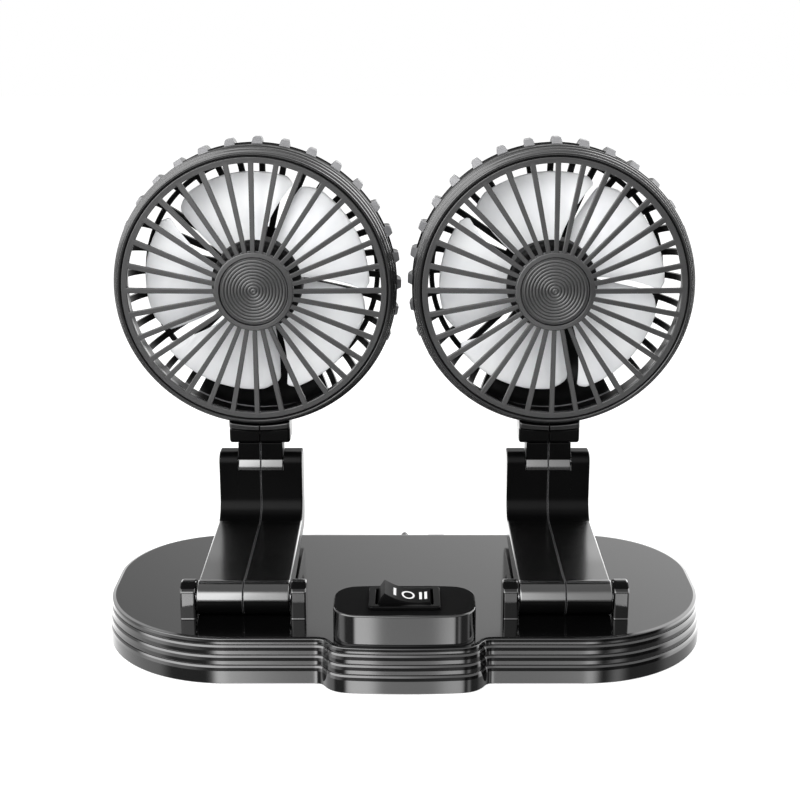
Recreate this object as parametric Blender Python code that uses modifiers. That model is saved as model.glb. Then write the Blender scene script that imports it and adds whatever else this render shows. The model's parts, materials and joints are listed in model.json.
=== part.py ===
"""Dual head fan on one wide base, modelled as separate pieces in metres, +Z up, front towards -Y.

Each side has an arm that folds on ears of the base, a neck that tilts in the arm's fork, a bracket
that turns on the neck, and a round head with its grille, impeller and motor.
"""

import math

import bmesh
import bpy
from mathutils import Matrix, Vector

OBJECT_NAME = "dual_head_fan"

# Shared clearances
GAP = 0.0003
TURN_GAP = 0.0004
OVERRUN = 0.0020
SINK = 0.0010
MERGE = 0.00001

# Base shell
BASE_WIDTH = 0.2540
BASE_DEPTH = 0.1176
BASE_TOP = 0.0200
BASE_RIM = 0.0006
BASE_WALL = 0.0024
REAR_CORNER = 0.0464
FRONT_CORNER = 0.0540
TIERS = 3
TIER_HEIGHT = 0.0043
TIER_STEP = 0.0004
TIER_EDGE = 0.0010

# Bulge of the base's front, below the switch pod
BULGE_WIDTH = 0.0644
BULGE_REACH = 0.0096
BULGE_CORNER = 0.0094
BULGE_FILLET = 0.0036

# Switch pod on the base
POD_WIDTH = 0.0570
POD_DEPTH = 0.0312
POD_CORNER = 0.0112
POD_INSET = 0.0022
POD_HEIGHT = 0.0131
POD_DRAFT = 0.0010
POD_EDGE = 0.0009
POD_WALL = 0.0020

# Switch: housing with its bezel, and a three-position rocker
BEZEL_WIDTH = 0.0290
BEZEL_DEPTH = 0.0210
BEZEL_HEIGHT = 0.0014
BEZEL_EDGE = 0.0007
HOUSING_WIDTH = 0.0262
HOUSING_DEPTH = 0.0184
HOUSING_DROP = 0.0135
HOUSING_FLOOR = 0.0015
ROCKER_RADIUS = 0.0112
ROCKER_DEPTH = 0.0150
ROCKER_RISE = 0.0062
ROCKER_MIDDLE = 0.0043
ROCKER_SKIRT = 0.0034
ROCKER_PIVOT_DROP = 0.0035
ROCKER_PIN = 0.0012
ROCKER_PIN_BITE = 0.0014
ROCKER_TILT = math.radians(11)

# Circuit board on the base plate
BOARD_WIDTH = 0.0440
BOARD_DEPTH = 0.0240
BOARD_THICKNESS = 0.0016
RAIL_HEIGHT = 0.0030
RAIL_WIDTH = 0.0020

# Base plate, feet and plate screws
PLATE_THICKNESS = 0.0020
PLATE_LIFT = 0.0012
FOOT_RADIUS = 0.0080
FOOT_HEIGHT = 0.0018
FOOT_SIDE_INSET = 0.0350
FOOT_FRONT_INSET = 0.0228
FOOT_REAR_INSET = 0.0208
BOSS_RADIUS = 0.0042
BOSS_SIDE_INSET = 0.0630
BOSS_FRONT_INSET = 0.0158
BOSS_REAR_INSET = 0.0138
SCREW_SHANK = 0.0014
SCREW_HEAD = 0.0028
SCREW_HEAD_HEIGHT = 0.0010
SCREW_LENGTH = 0.0100

# Arm fold hinge: ears on the base and the arm's barrel between them
SIDE_SPACING = 0.1336
HINGE_INSET = 0.0247
EAR_RADIUS = 0.0075
EAR_THICKNESS = 0.0064
ARM_WIDTH = 0.0388
BARREL_RADIUS = 0.0072
FOLD_PIN_RADIUS = 0.0020
FOLD_PIN_BITE = 0.0038

# Arm: low bar that turns up into a fork
ARM_REACH = 0.0882
ARM_RISE = 0.0310
ARM_WALL = 0.0022
BAR_TOP = 0.0062
BAR_FRONT_DROP = 0.0050
BAR_REAR_DROP = 0.0020
BAR_WIDTH = 0.0384
UPRIGHT_THICKNESS = 0.0138
HEEL_RADIUS = 0.0080
COVE_RADIUS = 0.0090
CHEEK_TOP = 0.0053
CHEEK_CORNER = 0.0048
ARM_SCREW_Y = 0.0220
ARM_SCREW_STEP = 0.0400
ARM_SCREW_Z = 0.0004
ARM_SCREW_LENGTH = 0.0260

# Neck: tab with its barrel in the fork, on which the bracket turns
TAB_WIDTH = 0.0205
TAB_THICKNESS = 0.0132
TAB_TOP = 0.0103
LIP_DROP = 0.0029
TILT_PIN_RADIUS = 0.0018
TILT_PIN_BITE = 0.0050
POST_RADIUS = 0.0028
POST_FLANGE = 0.0042
POST_FLANGE_HEIGHT = 0.0015
POST_LOW = 0.0042
POST_HIGH = 0.0158
BRACKET_WIDTH = 0.0280
BRACKET_THICKNESS = 0.0140
BRACKET_TOP = 0.0250
BRACKET_EDGE = 0.0012

# Head: sizes along its axis are depths behind the front plane
HEAD_RISE = 0.0839
HEAD_FORWARD = 0.0176
HEAD_RADIUS = 0.0635
RING_BACK = 0.0205
RING_BACK_RADIUS = 0.0627
RING_WALL = 0.0020
RING_LEDGE = 0.0020
GRILLE_RADIUS = 0.0590
GRILLE_OPENING = 0.0564
GRILLE_THICKNESS = 0.0018
GRILLE_DEPTH = 0.0030
GRILLE_DOME = 0.0022
SPOKES = 32
SPOKE_OUTER_WIDTH = 0.0024
SPOKE_INNER_WIDTH = 0.0020
GRILLE_HUB = 0.0177
HUB_FRONT = 0.0004
HUB_BACK = 0.0046
HUB_RECESS = 0.0022
CAP_RADIUS = 0.0151
CAP_RINGS = 3
CAP_RING_HEIGHT = 0.0004
CAP_DEPTH = 0.0013
TERRACE_EDGE = 0.0009

# Rear housing
CAGE_RADIUS = 0.0653
CAGE_DEPTH = 0.0503
CAGE_WALL = 0.0024
CAGE_CORNER = 0.0200
CAGE_FLARE = 0.0252
SPIGOT_FRONT = 0.0090
SPIGOT_BACK = 0.0228
SPIGOT_WALL = 0.0020
RIBS = 32
RIB_THICKNESS = 0.0026
RIB_START = math.radians(1)
RIB_FRONT = 0.0238
SOLID_ANGLE = math.radians(28)
BACK_RING = 0.0552
BACK_RING_WIDTH = 0.0024
STRUT_THICKNESS = 0.0024
STRUT_HUB = 0.0215

# Motor, shaft and impeller
MOTOR_RADIUS = 0.0135
MOTOR_FRONT = 0.0265
MOTOR_EDGE = 0.0010
SHAFT_RADIUS = 0.0015
SHAFT_FRONT = 0.0175
SHAFT_BACK = 0.0340
IMPELLER_HUB = 0.0205
IMPELLER_FRONT = 0.0145
IMPELLER_BACK = 0.0285
IMPELLER_WALL = 0.0020
IMPELLER_EDGE = 0.0025
IMPELLER_BOSS = 0.0040
IMPELLER_BOSS_BACK = 0.0235
BLADES = 5
BLADE_RADIUS = 0.0510
BLADE_THICKNESS = 0.0013
BLADE_RISE = 0.0120
BLADE_FRONT = 0.0150
BLADE_SPAN = math.radians(51)
BLADE_SWEEP = math.radians(12.5)
BLADE_START = math.radians(21.5)
BLADE_TIP_CORNER = math.radians(9)

# Cord with its boot, hank, tie and plug
CORD_RADIUS = 0.0017
BOOT_HEIGHT = 0.0135
BOOT_NECK = 0.0029
BOOT_FLANGE = 0.0039
BOOT_FLANGE_WIDTH = 0.0012
BOOT_LENGTH = 0.0065
BOOT_TIP = 0.0023
HANK_RUN = 0.1500
HANK_X = 0.0160
HANK_STEP = 0.00385
HANK_RADIUS = 0.0080
HANK_CLEARANCE = 0.0030
HANK_START_X = 0.0350
HANK_END_X = -0.0600
HANK_LOOPS = 3
HANK_TURN_STEPS = 10
TIE_THICKNESS = 0.0005
TIE_WIDTH = 0.0080
TIE_X = 0.0160
PLUG_LENGTH = 0.0200
PLUG_WIDTH = 0.0145
PLUG_HEIGHT = 0.0070
PLUG_EDGE = 0.0016
PLUG_X = -0.0800
PLUG_SHELL_LENGTH = 0.0130
PLUG_SHELL_WIDTH = 0.0120
PLUG_SHELL_HEIGHT = 0.0045
PLUG_SHELL_WALL = 0.0005
PLUG_SHELL_DEPTH = 0.0090

# Shares along a blade's radius and chord: its twist, and the start and edge of its trimmed tip corner
BLADE_TWIST_SHARE = 0.25
TIP_START_SHARE = 0.75
TIP_EDGE_SHARE = 0.2

# Rounding: how many straight steps make a round
RING_STEPS = 32
HUB_STEPS = 20
PIN_STEPS = 16
SCREW_STEPS = 8
FLAT_ANGLE = math.radians(0.4)
CORNER_STEPS = 3
WIDE_STEPS = 5

# Places worked out from the sizes above
FRONT_Y = -BASE_DEPTH / 2
REAR_Y = BASE_DEPTH / 2
CORNERS = FRONT_CORNER + REAR_CORNER
FRONT_ROUND = min(FRONT_CORNER, BASE_DEPTH * FRONT_CORNER / CORNERS - OVERRUN)
REAR_ROUND = min(REAR_CORNER, BASE_DEPTH * REAR_CORNER / CORNERS - OVERRUN)
FOOT_X = BASE_WIDTH / 2 - FOOT_SIDE_INSET
FOOT_YS = (FRONT_Y + FOOT_FRONT_INSET, REAR_Y - FOOT_REAR_INSET)
BOSS_X = BASE_WIDTH / 2 - BOSS_SIDE_INSET
BOSS_YS = (FRONT_Y + BOSS_FRONT_INSET, REAR_Y - BOSS_REAR_INSET)
POD_TOP = BASE_TOP + POD_HEIGHT
POD_Y = FRONT_Y - BULGE_REACH + POD_INSET + POD_DEPTH / 2
HINGE_Y = FRONT_Y + HINGE_INSET
HINGE_Z = BASE_TOP + EAR_RADIUS
PIVOT_Z = POD_TOP + GAP + BEZEL_HEIGHT - ROCKER_PIVOT_DROP
BOARD_Z = PLATE_LIFT + PLATE_THICKNESS + RAIL_HEIGHT + GAP
BOSS_BOTTOM = PLATE_LIFT + PLATE_THICKNESS + GAP
CORD_Z = CORD_RADIUS + TIE_THICKNESS + 2 * GAP
HANK_OUTER = HANK_RADIUS + (HANK_LOOPS - 1) * HANK_STEP
REAR_WALL_Y = REAR_Y + TIERS * TIER_STEP
HANK_Y = REAR_WALL_Y + HANK_CLEARANCE + CORD_RADIUS + HANK_OUTER
HEAD_BACK_Y = HINGE_Y + ARM_REACH - HEAD_FORWARD + CAGE_DEPTH
BULGE_FRONT_Y = FRONT_Y - BULGE_REACH - TIERS * TIER_STEP
MIDDLE_Y = (BULGE_FRONT_Y + HEAD_BACK_Y) / 2

# Ways to turn a flat outline: drawn in (y, z) and thick along X, or drawn in (x, z) and thick along Y
ALONG_X = (math.pi / 2, 0, math.pi / 2)
ALONG_Y = (math.pi / 2, 0, 0)

# The cord's free stretches, point by point from the boot to the hank and from the hank to the plug
CORD_ROUTE = (
    (0.0000, 0.0718, 0.0135),
    (0.0001, 0.0755, 0.0128),
    (0.0006, 0.0790, 0.0108),
    (0.0022, 0.0825, 0.0078),
    (0.0055, 0.0856, 0.0048),
    (0.0100, 0.0876, 0.0033),
    (0.0160, 0.0883, 0.0029),
    (0.0240, 0.0884, 0.0028),
)
TAIL_ROUTE = (
    (-0.0640, 0.0647, 0.0028),
    (-0.0690, 0.0656, 0.0032),
    (-0.0740, 0.0677, 0.0036),
)


# Scene, collections and finishes

def clear_scene():
    for obj in list(bpy.data.objects):
        bpy.data.objects.remove(obj)


def new_collection(name, hidden):
    made = bpy.data.collections.new(name)
    bpy.context.scene.collection.children.link(made)
    made.hide_render = hidden
    return made


def finish(name, colour, roughness, metallic, alpha=1):
    made = bpy.data.materials.new(name)
    made.use_nodes = True
    shader = made.node_tree.nodes["Principled BSDF"]
    shader.inputs["Base Color"].default_value = (*colour, 1)
    shader.inputs["Roughness"].default_value = roughness
    shader.inputs["Metallic"].default_value = metallic
    shader.inputs["Alpha"].default_value = alpha
    made.diffuse_color = (*colour, 1)
    return made


clear_scene()
PARTS = new_collection(OBJECT_NAME, False)
CUTTERS = new_collection("cutters", True)
GLOSS = finish("gloss_black", (0.012, 0.012, 0.013), 0.16, 0)
BASE_PAINT = finish("base_black", (0.030, 0.031, 0.033), 0.22, 0)
SATIN = finish("satin_grey", (0.095, 0.097, 0.100), 0.42, 0)
CAGE = finish("cage_grey", (0.060, 0.061, 0.063), 0.40, 0)
WHITE = finish("white_blade", (0.85, 0.86, 0.87), 0.30, 0)
STEEL = finish("steel", (0.62, 0.62, 0.63), 0.28, 1)
RUBBER = finish("rubber", (0.025, 0.025, 0.026), 0.80, 0)
BOARD_GREEN = finish("board_green", (0.030, 0.160, 0.070), 0.45, 0)
CORD_BLACK = finish("cord_black", (0.020, 0.020, 0.021), 0.50, 0)


# Shapes that return a mesh

def arc(centre, radius, start, end, steps):
    """Points of a round from start to end, in degrees, both ends included."""
    points = []
    for i in range(steps + 1):
        angle = math.radians(start + (end - start) * i / steps)
        points.append((centre[0] + radius * math.cos(angle), centre[1] + radius * math.sin(angle)))
    return points


def circle(centre, radius, steps):
    return arc(centre, radius, 0, 360, steps)[:-1]


def mesh_of(bm, name):
    bmesh.ops.recalc_face_normals(bm, faces=bm.faces)
    mesh = bpy.data.meshes.new(name)
    bm.to_mesh(mesh)
    bm.free()
    return mesh


def flat(outlines, thickness):
    """A plate of the first outline with the others as holes, or several plates, centred on its plane."""
    curve = bpy.data.curves.new("outline", "CURVE")
    curve.dimensions = "2D"
    curve.fill_mode = "BOTH"
    curve.extrude = thickness / 2
    for outline in outlines:
        spline = curve.splines.new("POLY")
        spline.points.add(len(outline) - 1)
        for point, (x, y) in zip(spline.points, outline):
            point.co = (x, y, 0, 1)
        spline.use_cyclic_u = True
    holder = bpy.data.objects.new("outline", curve)
    CUTTERS.objects.link(holder)
    graph = bpy.context.evaluated_depsgraph_get()
    mesh = bpy.data.meshes.new_from_object(holder.evaluated_get(graph))
    bpy.data.objects.remove(holder)
    bm = bmesh.new()
    bm.from_mesh(mesh)
    bpy.data.meshes.remove(mesh)
    bmesh.ops.remove_doubles(bm, verts=bm.verts, dist=MERGE)
    return mesh_of(bm, "plate")


def cylinder(radius, length, steps=PIN_STEPS):
    bm = bmesh.new()
    bmesh.ops.create_cone(
        bm, cap_ends=True, segments=steps, radius1=radius, radius2=radius, depth=length
    )
    return mesh_of(bm, "cylinder")


def block(width, depth, height):
    bm = bmesh.new()
    bmesh.ops.create_cube(bm, size=1)
    bmesh.ops.scale(bm, vec=(width, depth, height), verts=bm.verts)
    return mesh_of(bm, "block")


def loft(sections):
    """A closed solid through outlines of equal length, given as (outline, height) from the bottom up."""
    bm = bmesh.new()
    rings = []
    for outline, height in sections:
        rings.append([bm.verts.new((x, y, height)) for x, y in outline])
    for low, high in zip(rings, rings[1:]):
        for i in range(len(low)):
            j = (i + 1) % len(low)
            bm.faces.new((low[i], low[j], high[j], high[i]))
    bm.faces.new(reversed(rings[0]))
    bm.faces.new(rings[-1])
    return mesh_of(bm, "loft")


def placed(mesh, place=(0, 0, 0), turn=(0, 0, 0)):
    """A copy of the mesh, turned and moved inside its own coordinates."""
    copy = mesh.copy()
    rotation = Matrix.Rotation(turn[2], 4, "Z") @ Matrix.Rotation(turn[1], 4, "Y")
    copy.transform(Matrix.Translation(place) @ rotation @ Matrix.Rotation(turn[0], 4, "X"))
    return copy


def gathered(meshes):
    bm = bmesh.new()
    for mesh in meshes:
        bm.from_mesh(mesh)
    return mesh_of(bm, "group")


def spline_tube(name, points, radius, sides_resolution):
    """A round tube along the points, as a curve with a bevel and filled caps."""
    curve = bpy.data.curves.new(name, "CURVE")
    curve.dimensions = "3D"
    curve.bevel_depth = radius
    curve.bevel_resolution = sides_resolution
    curve.use_fill_caps = True
    spline = curve.splines.new("POLY")
    spline.points.add(len(points) - 1)
    for point, place in zip(spline.points, points):
        point.co = (*place, 1)
    return curve


# Objects

def link(name, data, colour, parent, place, turn):
    obj = bpy.data.objects.new(name, data)
    obj.parent = parent or ROOT
    obj.location = place
    obj.rotation_euler = turn
    if colour is None:
        CUTTERS.objects.link(obj)
        obj.hide_render = True
        obj.display_type = "WIRE"
        return obj
    PARTS.objects.link(obj)
    data.materials.clear()
    data.materials.append(colour)
    return obj


def part(name, mesh, colour, parent=None, place=(0, 0, 0), turn=(0, 0, 0)):
    mesh = mesh.copy()
    mesh.name = name
    mesh.shade_smooth()
    mesh.set_sharp_from_angle(angle=math.radians(35))
    return link(name, mesh, colour, parent, place, turn)


def cutter(name, mesh, parent=None, place=(0, 0, 0), turn=(0, 0, 0)):
    return link("cut_" + name, mesh.copy(), None, parent, place, turn)


def turned(name, profile, steps, colour, parent=None, place=(0, 0, 0), turn=(0, 0, 0), ring=False):
    """A profile of (radius, height) points, run down its outer side, turned about its own Z axis."""
    mesh = bpy.data.meshes.new(name)
    edges = [(i, i + 1) for i in range(len(profile) - 1)]
    if ring:
        edges.append((len(profile) - 1, 0))
    mesh.from_pydata([(radius, 0, height) for radius, height in profile], edges, [])
    obj = link(name if colour else "cut_" + name, mesh, colour, parent, place, turn)
    screw = obj.modifiers.new("turn", "SCREW")
    screw.axis = "Z"
    screw.steps = steps
    screw.render_steps = steps
    screw.use_merge_vertices = True
    screw.merge_threshold = MERGE
    screw.use_smooth_shade = True
    return obj


def bevel(obj, width, segments=2):
    made = obj.modifiers.new("edges", "BEVEL")
    made.width = width
    made.segments = segments
    made.limit_method = "ANGLE"


def combine(obj, other, operation):
    made = obj.modifiers.new(other.name, "BOOLEAN")
    made.operation = operation
    made.solver = "EXACT"
    made.object = other


def cut(obj, *tools):
    for tool in tools:
        combine(obj, tool, "DIFFERENCE")


def join(obj, *tools):
    for tool in tools:
        combine(obj, tool, "UNION")


def merge_flats(obj):
    """Joins the flat faces that the Booleans left in slivers."""
    made = obj.modifiers.new("flats", "DECIMATE")
    made.decimate_type = "DISSOLVE"
    made.angle_limit = FLAT_ANGLE


def anchor(name, parent, place, turn=(0, 0, 0)):
    """An empty that stands on a joint's axis."""
    obj = bpy.data.objects.new(name, None)
    PARTS.objects.link(obj)
    obj.parent = parent
    obj.location = place
    obj.rotation_euler = turn
    obj.empty_display_size = EAR_RADIUS
    return obj


# Base

def base_outline(grow):
    """The base seen from above, front bulge first, moved outwards by grow."""
    half, bulge = BASE_WIDTH / 2, BULGE_WIDTH / 2
    bulge_y = FRONT_Y - BULGE_REACH
    round_x = bulge - BULGE_CORNER
    apart = BULGE_CORNER + BULGE_FILLET
    across = math.sqrt(apart * apart - (apart - BULGE_REACH) * (apart - BULGE_REACH))
    lean = math.degrees(math.asin((apart - BULGE_REACH) / apart))
    corner = (round_x, bulge_y + BULGE_CORNER)
    fillet = (round_x + across, FRONT_Y - BULGE_FILLET)
    right = arc(corner, BULGE_CORNER + grow, -90, -lean, CORNER_STEPS)
    right += arc(fillet, BULGE_FILLET - grow, 180 - lean, 90, CORNER_STEPS - 1)[1:]
    right += arc(
        (half - FRONT_ROUND, FRONT_Y + FRONT_ROUND), FRONT_ROUND + grow, -90, 0, WIDE_STEPS
    )
    right += arc((half - REAR_ROUND, REAR_Y - REAR_ROUND), REAR_ROUND + grow, 0, 90, WIDE_STEPS)
    return right + [(-x, y) for x, y in reversed(right)]


def rounded(width, depth, corner, centre_y, grow):
    half_x, half_y = width / 2 - corner, depth / 2 - corner
    points = []
    for sign_x, sign_y, start in ((1, -1, -90), (1, 1, 0), (-1, 1, 90), (-1, -1, 180)):
        centre = (sign_x * half_x, centre_y + sign_y * half_y)
        points += arc(centre, corner + grow, start, start + 90, CORNER_STEPS)
    return points


def rounded_over(outline, grow, top, edge):
    """The two sections that break an outline's top edge."""
    return [(outline(grow), top - edge), (outline(grow - edge), top)]


def base_body():
    """Ridged tiers with a groove between each two, each tier a little wider than the one above."""
    sections = [(base_outline(TIERS * TIER_STEP), BASE_RIM)]
    for tier in range(TIERS, 0, -1):
        top = BASE_TOP - tier * TIER_HEIGHT
        sections.append((base_outline(tier * TIER_STEP), top - TIER_EDGE))
        sections.append((base_outline((tier - 1) * TIER_STEP - TIER_EDGE), top))
        sections.append((base_outline((tier - 1) * TIER_STEP), top + TIER_EDGE))
    return loft(sections + rounded_over(base_outline, 0, BASE_TOP, TIER_EDGE))


def pod_outline(grow):
    return rounded(POD_WIDTH, POD_DEPTH, POD_CORNER, POD_Y, grow)


def pod_body():
    foot = [(pod_outline(POD_DRAFT), BASE_TOP - SINK)]
    return loft(foot + rounded_over(pod_outline, 0, POD_TOP, POD_EDGE))


def ear_outline():
    top = arc((0, 0), EAR_RADIUS, 0, 180, 2 * CORNER_STEPS)
    return top + [(-EAR_RADIUS, -EAR_RADIUS - SINK), (EAR_RADIUS, -EAR_RADIUS - SINK)]


def ear_places():
    offset = (ARM_WIDTH + EAR_THICKNESS) / 2 + GAP
    return [side * SIDE_SPACING / 2 + ear * offset for side in (-1, 1) for ear in (-1, 1)]


def boss_places():
    return [(x, y) for x in (-BOSS_X, BOSS_X) for y in BOSS_YS]


def foot_places():
    return [(x, y) for x in (-FOOT_X, FOOT_X) for y in FOOT_YS]


def make_base_shell():
    shell = part("base_shell", base_body(), BASE_PAINT)
    ear = flat([ear_outline()], EAR_THICKNESS)
    ears = [placed(ear, (x, HINGE_Y, HINGE_Z), ALONG_X) for x in ear_places()]
    join(shell, cutter("pod", pod_body()), cutter("ears", gathered(ears)))
    roof = BASE_TOP - BASE_WALL
    hollow = loft(
        [(base_outline(-BASE_WALL), BASE_RIM - OVERRUN), (base_outline(-BASE_WALL), roof)]
    )
    pod_hollow = loft(
        [
            (pod_outline(-POD_WALL), roof - SINK),
            (pod_outline(-POD_WALL), POD_TOP - POD_WALL),
        ]
    )
    cut(shell, cutter("hollow", hollow), cutter("pod_hollow", pod_hollow))
    height = roof + SINK - BOSS_BOTTOM
    boss = cylinder(BOSS_RADIUS, height, SCREW_STEPS)
    middle = BOSS_BOTTOM + height / 2
    join(
        shell,
        cutter("bosses", gathered([placed(boss, (x, y, middle)) for x, y in boss_places()])),
    )
    pilot = cylinder(SCREW_SHANK + GAP, SCREW_LENGTH, SCREW_STEPS)
    pilots = gathered(
        [placed(pilot, (x, y, BOSS_BOTTOM + SCREW_LENGTH / 2 - SINK)) for x, y in boss_places()]
    )
    switch_hole = block(HOUSING_WIDTH + 2 * GAP, HOUSING_DEPTH + 2 * GAP, POD_WALL + 2 * OVERRUN)
    bore_length = ARM_WIDTH + 2 * FOLD_PIN_BITE + 4 * GAP
    bore = cylinder(FOLD_PIN_RADIUS + GAP, bore_length)
    bores = gathered(
        [
            placed(bore, (side * SIDE_SPACING / 2, HINGE_Y, HINGE_Z), (0, math.pi / 2, 0))
            for side in (-1, 1)
        ]
    )
    cord_hole = cylinder(BOOT_NECK + GAP, BASE_WALL + 2 * OVERRUN)
    cut(
        shell,
        cutter("pilots", pilots),
        cutter("switch_hole", switch_hole, None, (0, POD_Y, POD_TOP)),
        cutter("fold_bores", bores),
        cutter("cord_hole", cord_hole, None, (0, REAR_Y, BOOT_HEIGHT), ALONG_Y),
    )
    merge_flats(shell)


def make_base_plate():
    grow = -BASE_WALL - GAP
    plate = part(
        "base_plate",
        loft(
            [
                (base_outline(grow), PLATE_LIFT),
                (base_outline(grow), PLATE_LIFT + PLATE_THICKNESS),
            ]
        ),
        SATIN,
    )
    top = PLATE_LIFT + PLATE_THICKNESS
    rail = block(RAIL_WIDTH, BOARD_DEPTH, RAIL_HEIGHT + SINK)
    rails = gathered(
        [
            placed(rail, (sign * (BOARD_WIDTH / 2 - RAIL_WIDTH), POD_Y, top + RAIL_HEIGHT / 2 - SINK / 2))
            for sign in (-1, 1)
        ]
    )
    join(plate, cutter("rails", rails))
    seat = cylinder(FOOT_RADIUS + GAP, 2 * (FOOT_HEIGHT + GAP))
    hole = cylinder(SCREW_SHANK + GAP, 2 * top, SCREW_STEPS)
    head_room = SCREW_HEAD_HEIGHT + 2 * GAP
    sink = cylinder(SCREW_HEAD + GAP, 2 * head_room, SCREW_STEPS)
    cut(
        plate,
        cutter("foot_seats", gathered([placed(seat, (x, y, 0)) for x, y in foot_places()])),
        cutter("plate_holes", gathered([placed(hole, (x, y, top)) for x, y in boss_places()])),
        cutter("head_seats", gathered([placed(sink, (x, y, PLATE_LIFT)) for x, y in boss_places()])),
    )
    merge_flats(plate)
    for count, (x, y) in enumerate(foot_places(), 1):
        place = (x, y, FOOT_HEIGHT / 2)
        part(f"foot_{count}", cylinder(FOOT_RADIUS, FOOT_HEIGHT), RUBBER, None, place)
    for count, (x, y) in enumerate(boss_places(), 1):
        place = (x, y, PLATE_LIFT + GAP)
        make_screw(f"plate_screw_{count}", SCREW_LENGTH - SINK, None, place, (0, 0, 0))


def make_screw(name, length, parent, place, turn):
    """A pan-head screw with its head's face at its origin and its shank along +Z."""
    slot = SCREW_HEAD_HEIGHT / 2
    profile = [
        (0, length),
        (SCREW_SHANK, length),
        (SCREW_SHANK, SCREW_HEAD_HEIGHT),
        (SCREW_HEAD, SCREW_HEAD_HEIGHT),
        (SCREW_HEAD, 0),
        (SCREW_SHANK, 0),
        (SCREW_SHANK / 2, slot),
        (0, slot),
    ]
    return turned(name, profile, SCREW_STEPS, STEEL, parent, place, turn)


def make_board():
    part(
        "circuit_board",
        block(BOARD_WIDTH, BOARD_DEPTH, BOARD_THICKNESS),
        BOARD_GREEN,
        None,
        (0, POD_Y, BOARD_Z + BOARD_THICKNESS / 2),
    )


# Switch

def make_switch():
    bezel_z = POD_TOP + GAP
    housing = part(
        "switch_housing",
        block(BEZEL_WIDTH, BEZEL_DEPTH, BEZEL_HEIGHT),
        GLOSS,
        None,
        (0, POD_Y, bezel_z + BEZEL_HEIGHT / 2),
    )
    bevel(housing, BEZEL_EDGE, 1)
    body = cutter(
        "switch_body",
        block(HOUSING_WIDTH, HOUSING_DEPTH, HOUSING_DROP + BEZEL_HEIGHT / 2),
        None,
        (0, POD_Y, bezel_z + BEZEL_HEIGHT / 4 - HOUSING_DROP / 2),
    )
    join(housing, body)
    well_height = HOUSING_DROP - HOUSING_FLOOR + OVERRUN + BEZEL_HEIGHT
    well = block(2 * (ROCKER_RADIUS + TURN_GAP), ROCKER_DEPTH + 2 * TURN_GAP, well_height)
    well_z = bezel_z - HOUSING_DROP + HOUSING_FLOOR + well_height / 2
    axle = cylinder(ROCKER_PIN + GAP, ROCKER_DEPTH + 2 * (ROCKER_PIN_BITE + OVERRUN), SCREW_STEPS)
    cut(
        housing,
        cutter("switch_well", well, None, (0, POD_Y, well_z)),
        cutter("rocker_axle", axle, None, (0, POD_Y, PIVOT_Z), ALONG_Y),
    )
    make_rocker()


def make_rocker():
    """A shallow V on top, ends round about its pivot and a narrow skirt below, resting on its right side."""
    pivot = anchor("rocker_axis", ROOT, (0, POD_Y, PIVOT_Z), (0, ROCKER_TILT, 0))
    lift = math.degrees(math.asin(ROCKER_RISE / ROCKER_RADIUS))
    drop = math.degrees(math.asin(ROCKER_SKIRT / ROCKER_RADIUS))
    end_x = ROCKER_RADIUS * math.cos(math.radians(lift))
    outline = arc((0, 0), ROCKER_RADIUS, -drop, lift, CORNER_STEPS)
    for i in range(1, 2 * CORNER_STEPS):
        share = 1 - i / CORNER_STEPS
        rise = ROCKER_MIDDLE + (ROCKER_RISE - ROCKER_MIDDLE) * share * share
        outline.append((end_x * share, rise))
    outline += arc((0, 0), ROCKER_RADIUS, 180 - lift, 180 + drop, CORNER_STEPS)
    rocker = part("switch_rocker", flat([outline], ROCKER_DEPTH), GLOSS, pivot, (0, 0, 0), ALONG_Y)
    axle = cutter(
        "rocker_pin",
        cylinder(ROCKER_PIN, ROCKER_DEPTH + 2 * ROCKER_PIN_BITE, SCREW_STEPS),
        pivot,
        (0, 0, 0),
        ALONG_Y,
    )
    join(rocker, axle)


# Arms, drawn in (y, z) from the fold axis

def arm_outline():
    """The bar from its barrel, its heel, the fork's cheek and the cove in front, all in one side view."""
    back = ARM_REACH + UPRIGHT_THICKNESS / 2
    front = ARM_REACH - UPRIGHT_THICKNESS / 2
    top = ARM_RISE + CHEEK_TOP
    meet_top = math.degrees(math.asin(BAR_TOP / BARREL_RADIUS))
    meet_low = 360 - math.degrees(math.asin(BAR_FRONT_DROP / BARREL_RADIUS))
    outline = arc((0, 0), BARREL_RADIUS, meet_top, meet_low, 3 * CORNER_STEPS)
    outline += arc((back - HEEL_RADIUS, HEEL_RADIUS - BAR_REAR_DROP), HEEL_RADIUS, -90, 0, CORNER_STEPS)
    outline += arc((back - CHEEK_CORNER, top - CHEEK_CORNER), CHEEK_CORNER, 0, 90, CORNER_STEPS)
    outline += arc((front + CHEEK_CORNER, top - CHEEK_CORNER), CHEEK_CORNER, 90, 180, CORNER_STEPS)
    outline += arc((front - COVE_RADIUS, BAR_TOP + COVE_RADIUS), COVE_RADIUS, 0, -90, CORNER_STEPS + 1)
    return outline


def arm_hollow_outline():
    """The space inside an arm, an L that stops short of the barrel and of the fork."""
    back = ARM_REACH + UPRIGHT_THICKNESS / 2 - ARM_WALL
    front = ARM_REACH - UPRIGHT_THICKNESS / 2 + ARM_WALL
    start = BARREL_RADIUS + 2 * ARM_WALL
    ceiling = ARM_RISE - TAB_THICKNESS / 2 - TURN_GAP - 2 * ARM_WALL
    inner_heel = max(HEEL_RADIUS - ARM_WALL, ARM_WALL)
    floor = ARM_WALL - BAR_REAR_DROP
    outline = [(front, BAR_TOP - ARM_WALL), (start, BAR_TOP - ARM_WALL), (start, ARM_WALL - BAR_FRONT_DROP)]
    outline += arc((back - inner_heel, floor + inner_heel), inner_heel, -90, 0, CORNER_STEPS)
    return outline + [(back, ceiling), (front, ceiling)]


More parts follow.
